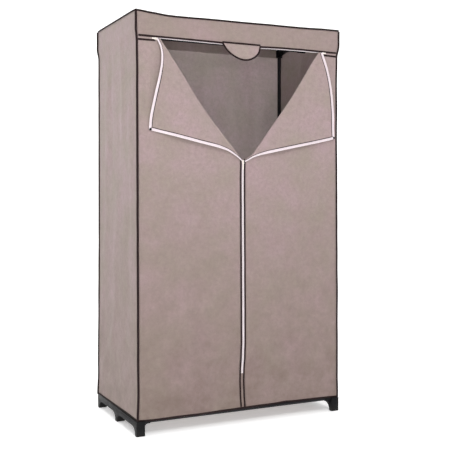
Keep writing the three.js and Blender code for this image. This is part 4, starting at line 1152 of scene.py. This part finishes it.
for name, side in both_sides:
    body = name + "_flap"
    down, across = (through(points, 46) for points in flap_edges[side])
    rim = rims[side] = down + across[1:]
    fold_line = [Vector((side * (fold_x(side, z) + fold_gap), 0, z))
                 for z in evenly(zip_z, junction_z, len(rim))]
    fold_run = Vector((fold_top_x, 0, zip_z - junction_z)).normalized()
    open_side = Vector((-side * fold_run.z, 0, fold_run.x))

    def flap_spot(j, i):
        fold = fold_line[i]
        if j < roll_steps:
            turn = math.pi * j / roll_steps
            place = fold + open_side * (roll * math.sin(turn))
            place.y = fold_axis_y + roll * math.cos(turn)
            return place, (-0.01 + 0.01 * j / roll_steps, i * rim_step)
        flat = fold.lerp(rim[i], (j - roll_steps) / (spans - 1))
        return Vector((flat.x, flap_face(side, flat.x, flat.z), flat.z)), ((flat - fold).length, i * rim_step)

    piece = cloth_grid("flap_cloth_" + name, range(roll_steps + spans), range(len(rim)), flap_spot,
                       (0, -1, 0))
    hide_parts("flap_" + name)
    piece.data.materials.append(cover_cloth)
    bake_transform(piece)

    narrow = [(0.5 + 0.5 * eased(0.03, 0.13, (p - rim[-1]).length))
              * (start_width[side] + (1 - start_width[side]) * eased(0.02, 0.2, (p - rim[0]).length))
              for p in rim]
    piece = swept("flap_edge_tape_" + name, on_flap(side, [0.0] * len(rim), edge_tape_lift),
                  tape_section(edge_tape, flap_tape_thick), width_at=lambda i: narrow[i])
    dressed(piece, zip_tape, "flap_tape_" + name, body=body)
    outer = on_flap(side, [(edge_overlap - edge_tape / 2) * share for share in narrow], flap_coil_lift)
    toothed("flap_coil_" + name, outer, -side, body)
    inner = on_flap(side, [(edge_overlap + edge_tape / 2) * share for share in narrow], edge_tape_lift)
    piece = swept("flap_inner_binding_" + name, inner, tape_section(inner_binding, flap_tape_thick))
    dressed(piece, binding, body=body)

# Press studs: black snap buttons, one half through each flap's corner and the other on the door
# behind it. They are kept as the source draws them, with their rims eased.
snap = clouded("black_snap_plastic", "stud_plastic", 240.0, 3.0, "#0a090a", "#171415", IOR=1.49,
               Roughness=0.45, Specular_IOR_Level=0.2)
stud_edge = 0.0003
for name, side in both_sides:
    softened("flap_stud_" + name, "flap_snap_" + name, stud_edge, snap, name + "_flap")
    softened("door_stud_" + name, "door_snap_" + name, stud_edge, snap)

# Half-moon tab: a bound tongue of cloth over the middle of the top zip, which hides the two
# sliders when they meet.
tab_left = -0.092
tab_right = 0.075
tab_top_z = 1.5095
tab_y = -0.2469
tab_columns = 61
tab_rows = 25
tab_bow = 0.0006
tab_binding_over = 0.0003
tab_rim = through([(-0.0915, 1.5032), (-0.0692, 1.4757), (-0.0418, 1.4568), (-0.0093, 1.445),
                   (0.0225, 1.4456), (0.0511, 1.4581), (0.0672, 1.4755), (0.0734, 1.496),
                   (0.074, 1.503)], tab_columns)
for point in tab_rim:
    point.y = tab_y


def tab_spot(j, i):
    share = i / (tab_rows - 1)
    x = tab_left + (tab_right - tab_left) * j / (tab_columns - 1)
    place = Vector((x, tab_y, tab_top_z)).lerp(tab_rim[j], share)
    place.y -= tab_bow * math.sin(math.pi * share)
    return place, (place.x, place.z)


piece = cloth_grid("tab_cloth", range(tab_columns), range(tab_rows), tab_spot, (0, -1, 0))
hung(piece, (0.167, 0.066), "hung", ["zip_top_binding"], "half_moon_tab", body="tab", area=0.0082)
rim = [point - Vector((0, tab_binding_over, 0)) for point in tab_rim]
dressed(swept("tab_edge_binding", rim, tape_section(0.0072, 0.0012, -0.0004)), binding, body="tab")
head = straight(*(Vector((x, tab_y - tab_binding_over, tab_top_z - 0.0032)) for x in (tab_left, tab_right)))
dressed(swept("tab_head_binding", head, tape_section(0.0066, 0.0012, -0.0002)), binding, body="tab")

# Stitching: brown polyester thread down both edges of every binding, white on the zip tapes.
# Stitches are 2.6 mm long every 4 mm, which is how a lockstitch on this cloth is set.
stitch_pitch = 0.004
stitch_size = (0.00028, 0.00028, 0.0013)
stitch_lift = 0.0012
row_apart = 0.0026
beside_bead = 0.0046
corner_foot_z = 0.068
corner_head_z = 1.585
row_half = 0.434
row_inner = 0.374
beside_zip_stitches = (0.067, 1.053)
hem_stitch_out = 0.0058
flap_stitch_in = 0.0036
flap_stitch_lift = 0.0016
thread = {name: clouded(name + "_sewing_thread", slot, 700.0, 1.0, dark, light, IOR=1.5, Roughness=0.6)
          for name, slot, dark, light in [("brown", "binding_tape", "#2a1d1b", "#4f3d39"),
                                          ("white", "zip_tape", "#f4efee", "#d5cccd")]}
lockstitch = row_of_beads("lockstitch", "Z", 6, 4)


def stitched(name, runs, colour="brown", body="root"):
    in_rows(name, runs, lockstitch, {"Pitch": stitch_pitch, "Size": stitch_size, "Finish": thread[colour]},
            body)


runs = [[leaned(Vector((x * (body_x + stands_out(z) - over_x), y * (body_y + stands_out(z) - over_y), z)))
         for z in evenly(corner_foot_z, corner_head_z, 121)] for x, y in corners.values()
        for over_x, over_y in [(beside_bead, -cloth_proud), (-cloth_proud, beside_bead)]]
stitched("corner_stitching", runs)
runs = [[on_front(x, sagged(x, valance_line_z) + step, valance_line_z, stitch_lift)
         for x in evenly(-row_half, row_half, 61)] for step in (-row_apart, row_apart)]
for name, side in both_sides:
    for step in (-row_apart, row_apart):
        z = door_top_line_z + step + short_drop[side]
        runs.append([on_front(side * x, z, z, stitch_lift) for x in (row_half, row_inner)])
        runs.append([Vector((side * beside_zip + step + centre_line(z), front_y(z, stitch_lift), z))
                     for z in evenly(*beside_zip_stitches, 101)])
stitched("front_stitching", runs)
ring = rectangle(body_x + hem_stitch_out, body_y + hem_stitch_out,
                 lambda x, y: hem_z + hem_stitch_out + hem_lift(x, y), radius=0.007)
stitched("hem_stitching", [[*ring, ring[0]]])
stitched("tab_stitching", [[Vector((p.x * 0.972, p.y - 0.0014, p.z + 0.0021)) for p in tab_rim]], body="tab")
for name, side in both_sides:
    run = on_flap(side, [flap_stitch_in] * len(rims[side]), flap_stitch_lift)
    stitched("flap_stitching_" + name, [run], "white", name + "_flap")

# Sliders and pulls: die-cast zinc sprayed cream. Each slider has two plates on a post, lugs and a
# pin, and its pull swings on the pin.
sprayed_zinc = clouded("cream_sprayed_zinc", "zip_slider", 160.0, 4.0, "#f1e9e2", "#d9cdc4", IOR=1.5,
                       Roughness=0.32, Coat_Weight=0.2)
cast_edge = 0.00025
for where in ("centre", "top_left", "top_right"):
    for kind in ("slider", "pull"):
        softened(f"{kind}_{where}", f"cast_{kind}_{where}", cast_edge, sprayed_zinc, f"{where}_{kind}")

# Floor, backdrop and lights: one pale sweep that curves up behind the wardrobe and glows faintly, a
# soft light high in front, a low one from the front left, a broad one overhead and even light all round.
sweep = bpy.data.meshes.new("pale_sweep")
turns = [math.radians(9 * i) for i in range(1, 11)]
profile = [(-7.0, 0.0), (2.2, 0.0),
           *((2.2 + 1.4 * math.sin(turn), 1.4 - 1.4 * math.cos(turn)) for turn in turns), (3.6, 7.0)]
sweep.from_pydata([(x, y, z) for y, z in profile for x in (-8.0, 10.0)], [],
                  [(2 * i, 2 * i + 1, 2 * i + 3, 2 * i + 2) for i in range(len(profile) - 1)])
sweep.shade_smooth()
pale, tree, shader = new_finish("pale_paper", None, Roughness=0.9, Base_Color=linear("#fbfbfa"),
                                Emission_Color=linear("#ffffff"), Emission_Strength=0.32)
sweep.materials.append(pale)
in_scene("pale_sweep", sweep)

for name, spot, size, power, aim in [
        ("key", (-0.6, -2.8, 3.4), 1.4, 50, (0, 0, 1.1)),
        ("front", (-1.5, -3.8, 0.5), 1.2, 56, (0, 0, 1.0)),
        ("over", (0.0, 0.6, 4.2), 3.5, 60, (0, 0.4, 0))]:
    lamp = bpy.data.lights.new(name, "AREA")
    lamp.size = size
    lamp.energy = power
    light = in_scene(name, lamp)
    light.location = spot
    light.rotation_euler = (Vector(spot) - Vector(aim)).to_track_quat("Z", "Y").to_euler()
world = bpy.data.worlds.new("even_light")
world.use_nodes = True
feed(world.node_tree.nodes["Background"], {"Color": linear("#f4f4f6"), "Strength": 0.74})
bpy.context.scene.world = world
bpy.context.scene.view_settings.view_transform = "Standard"
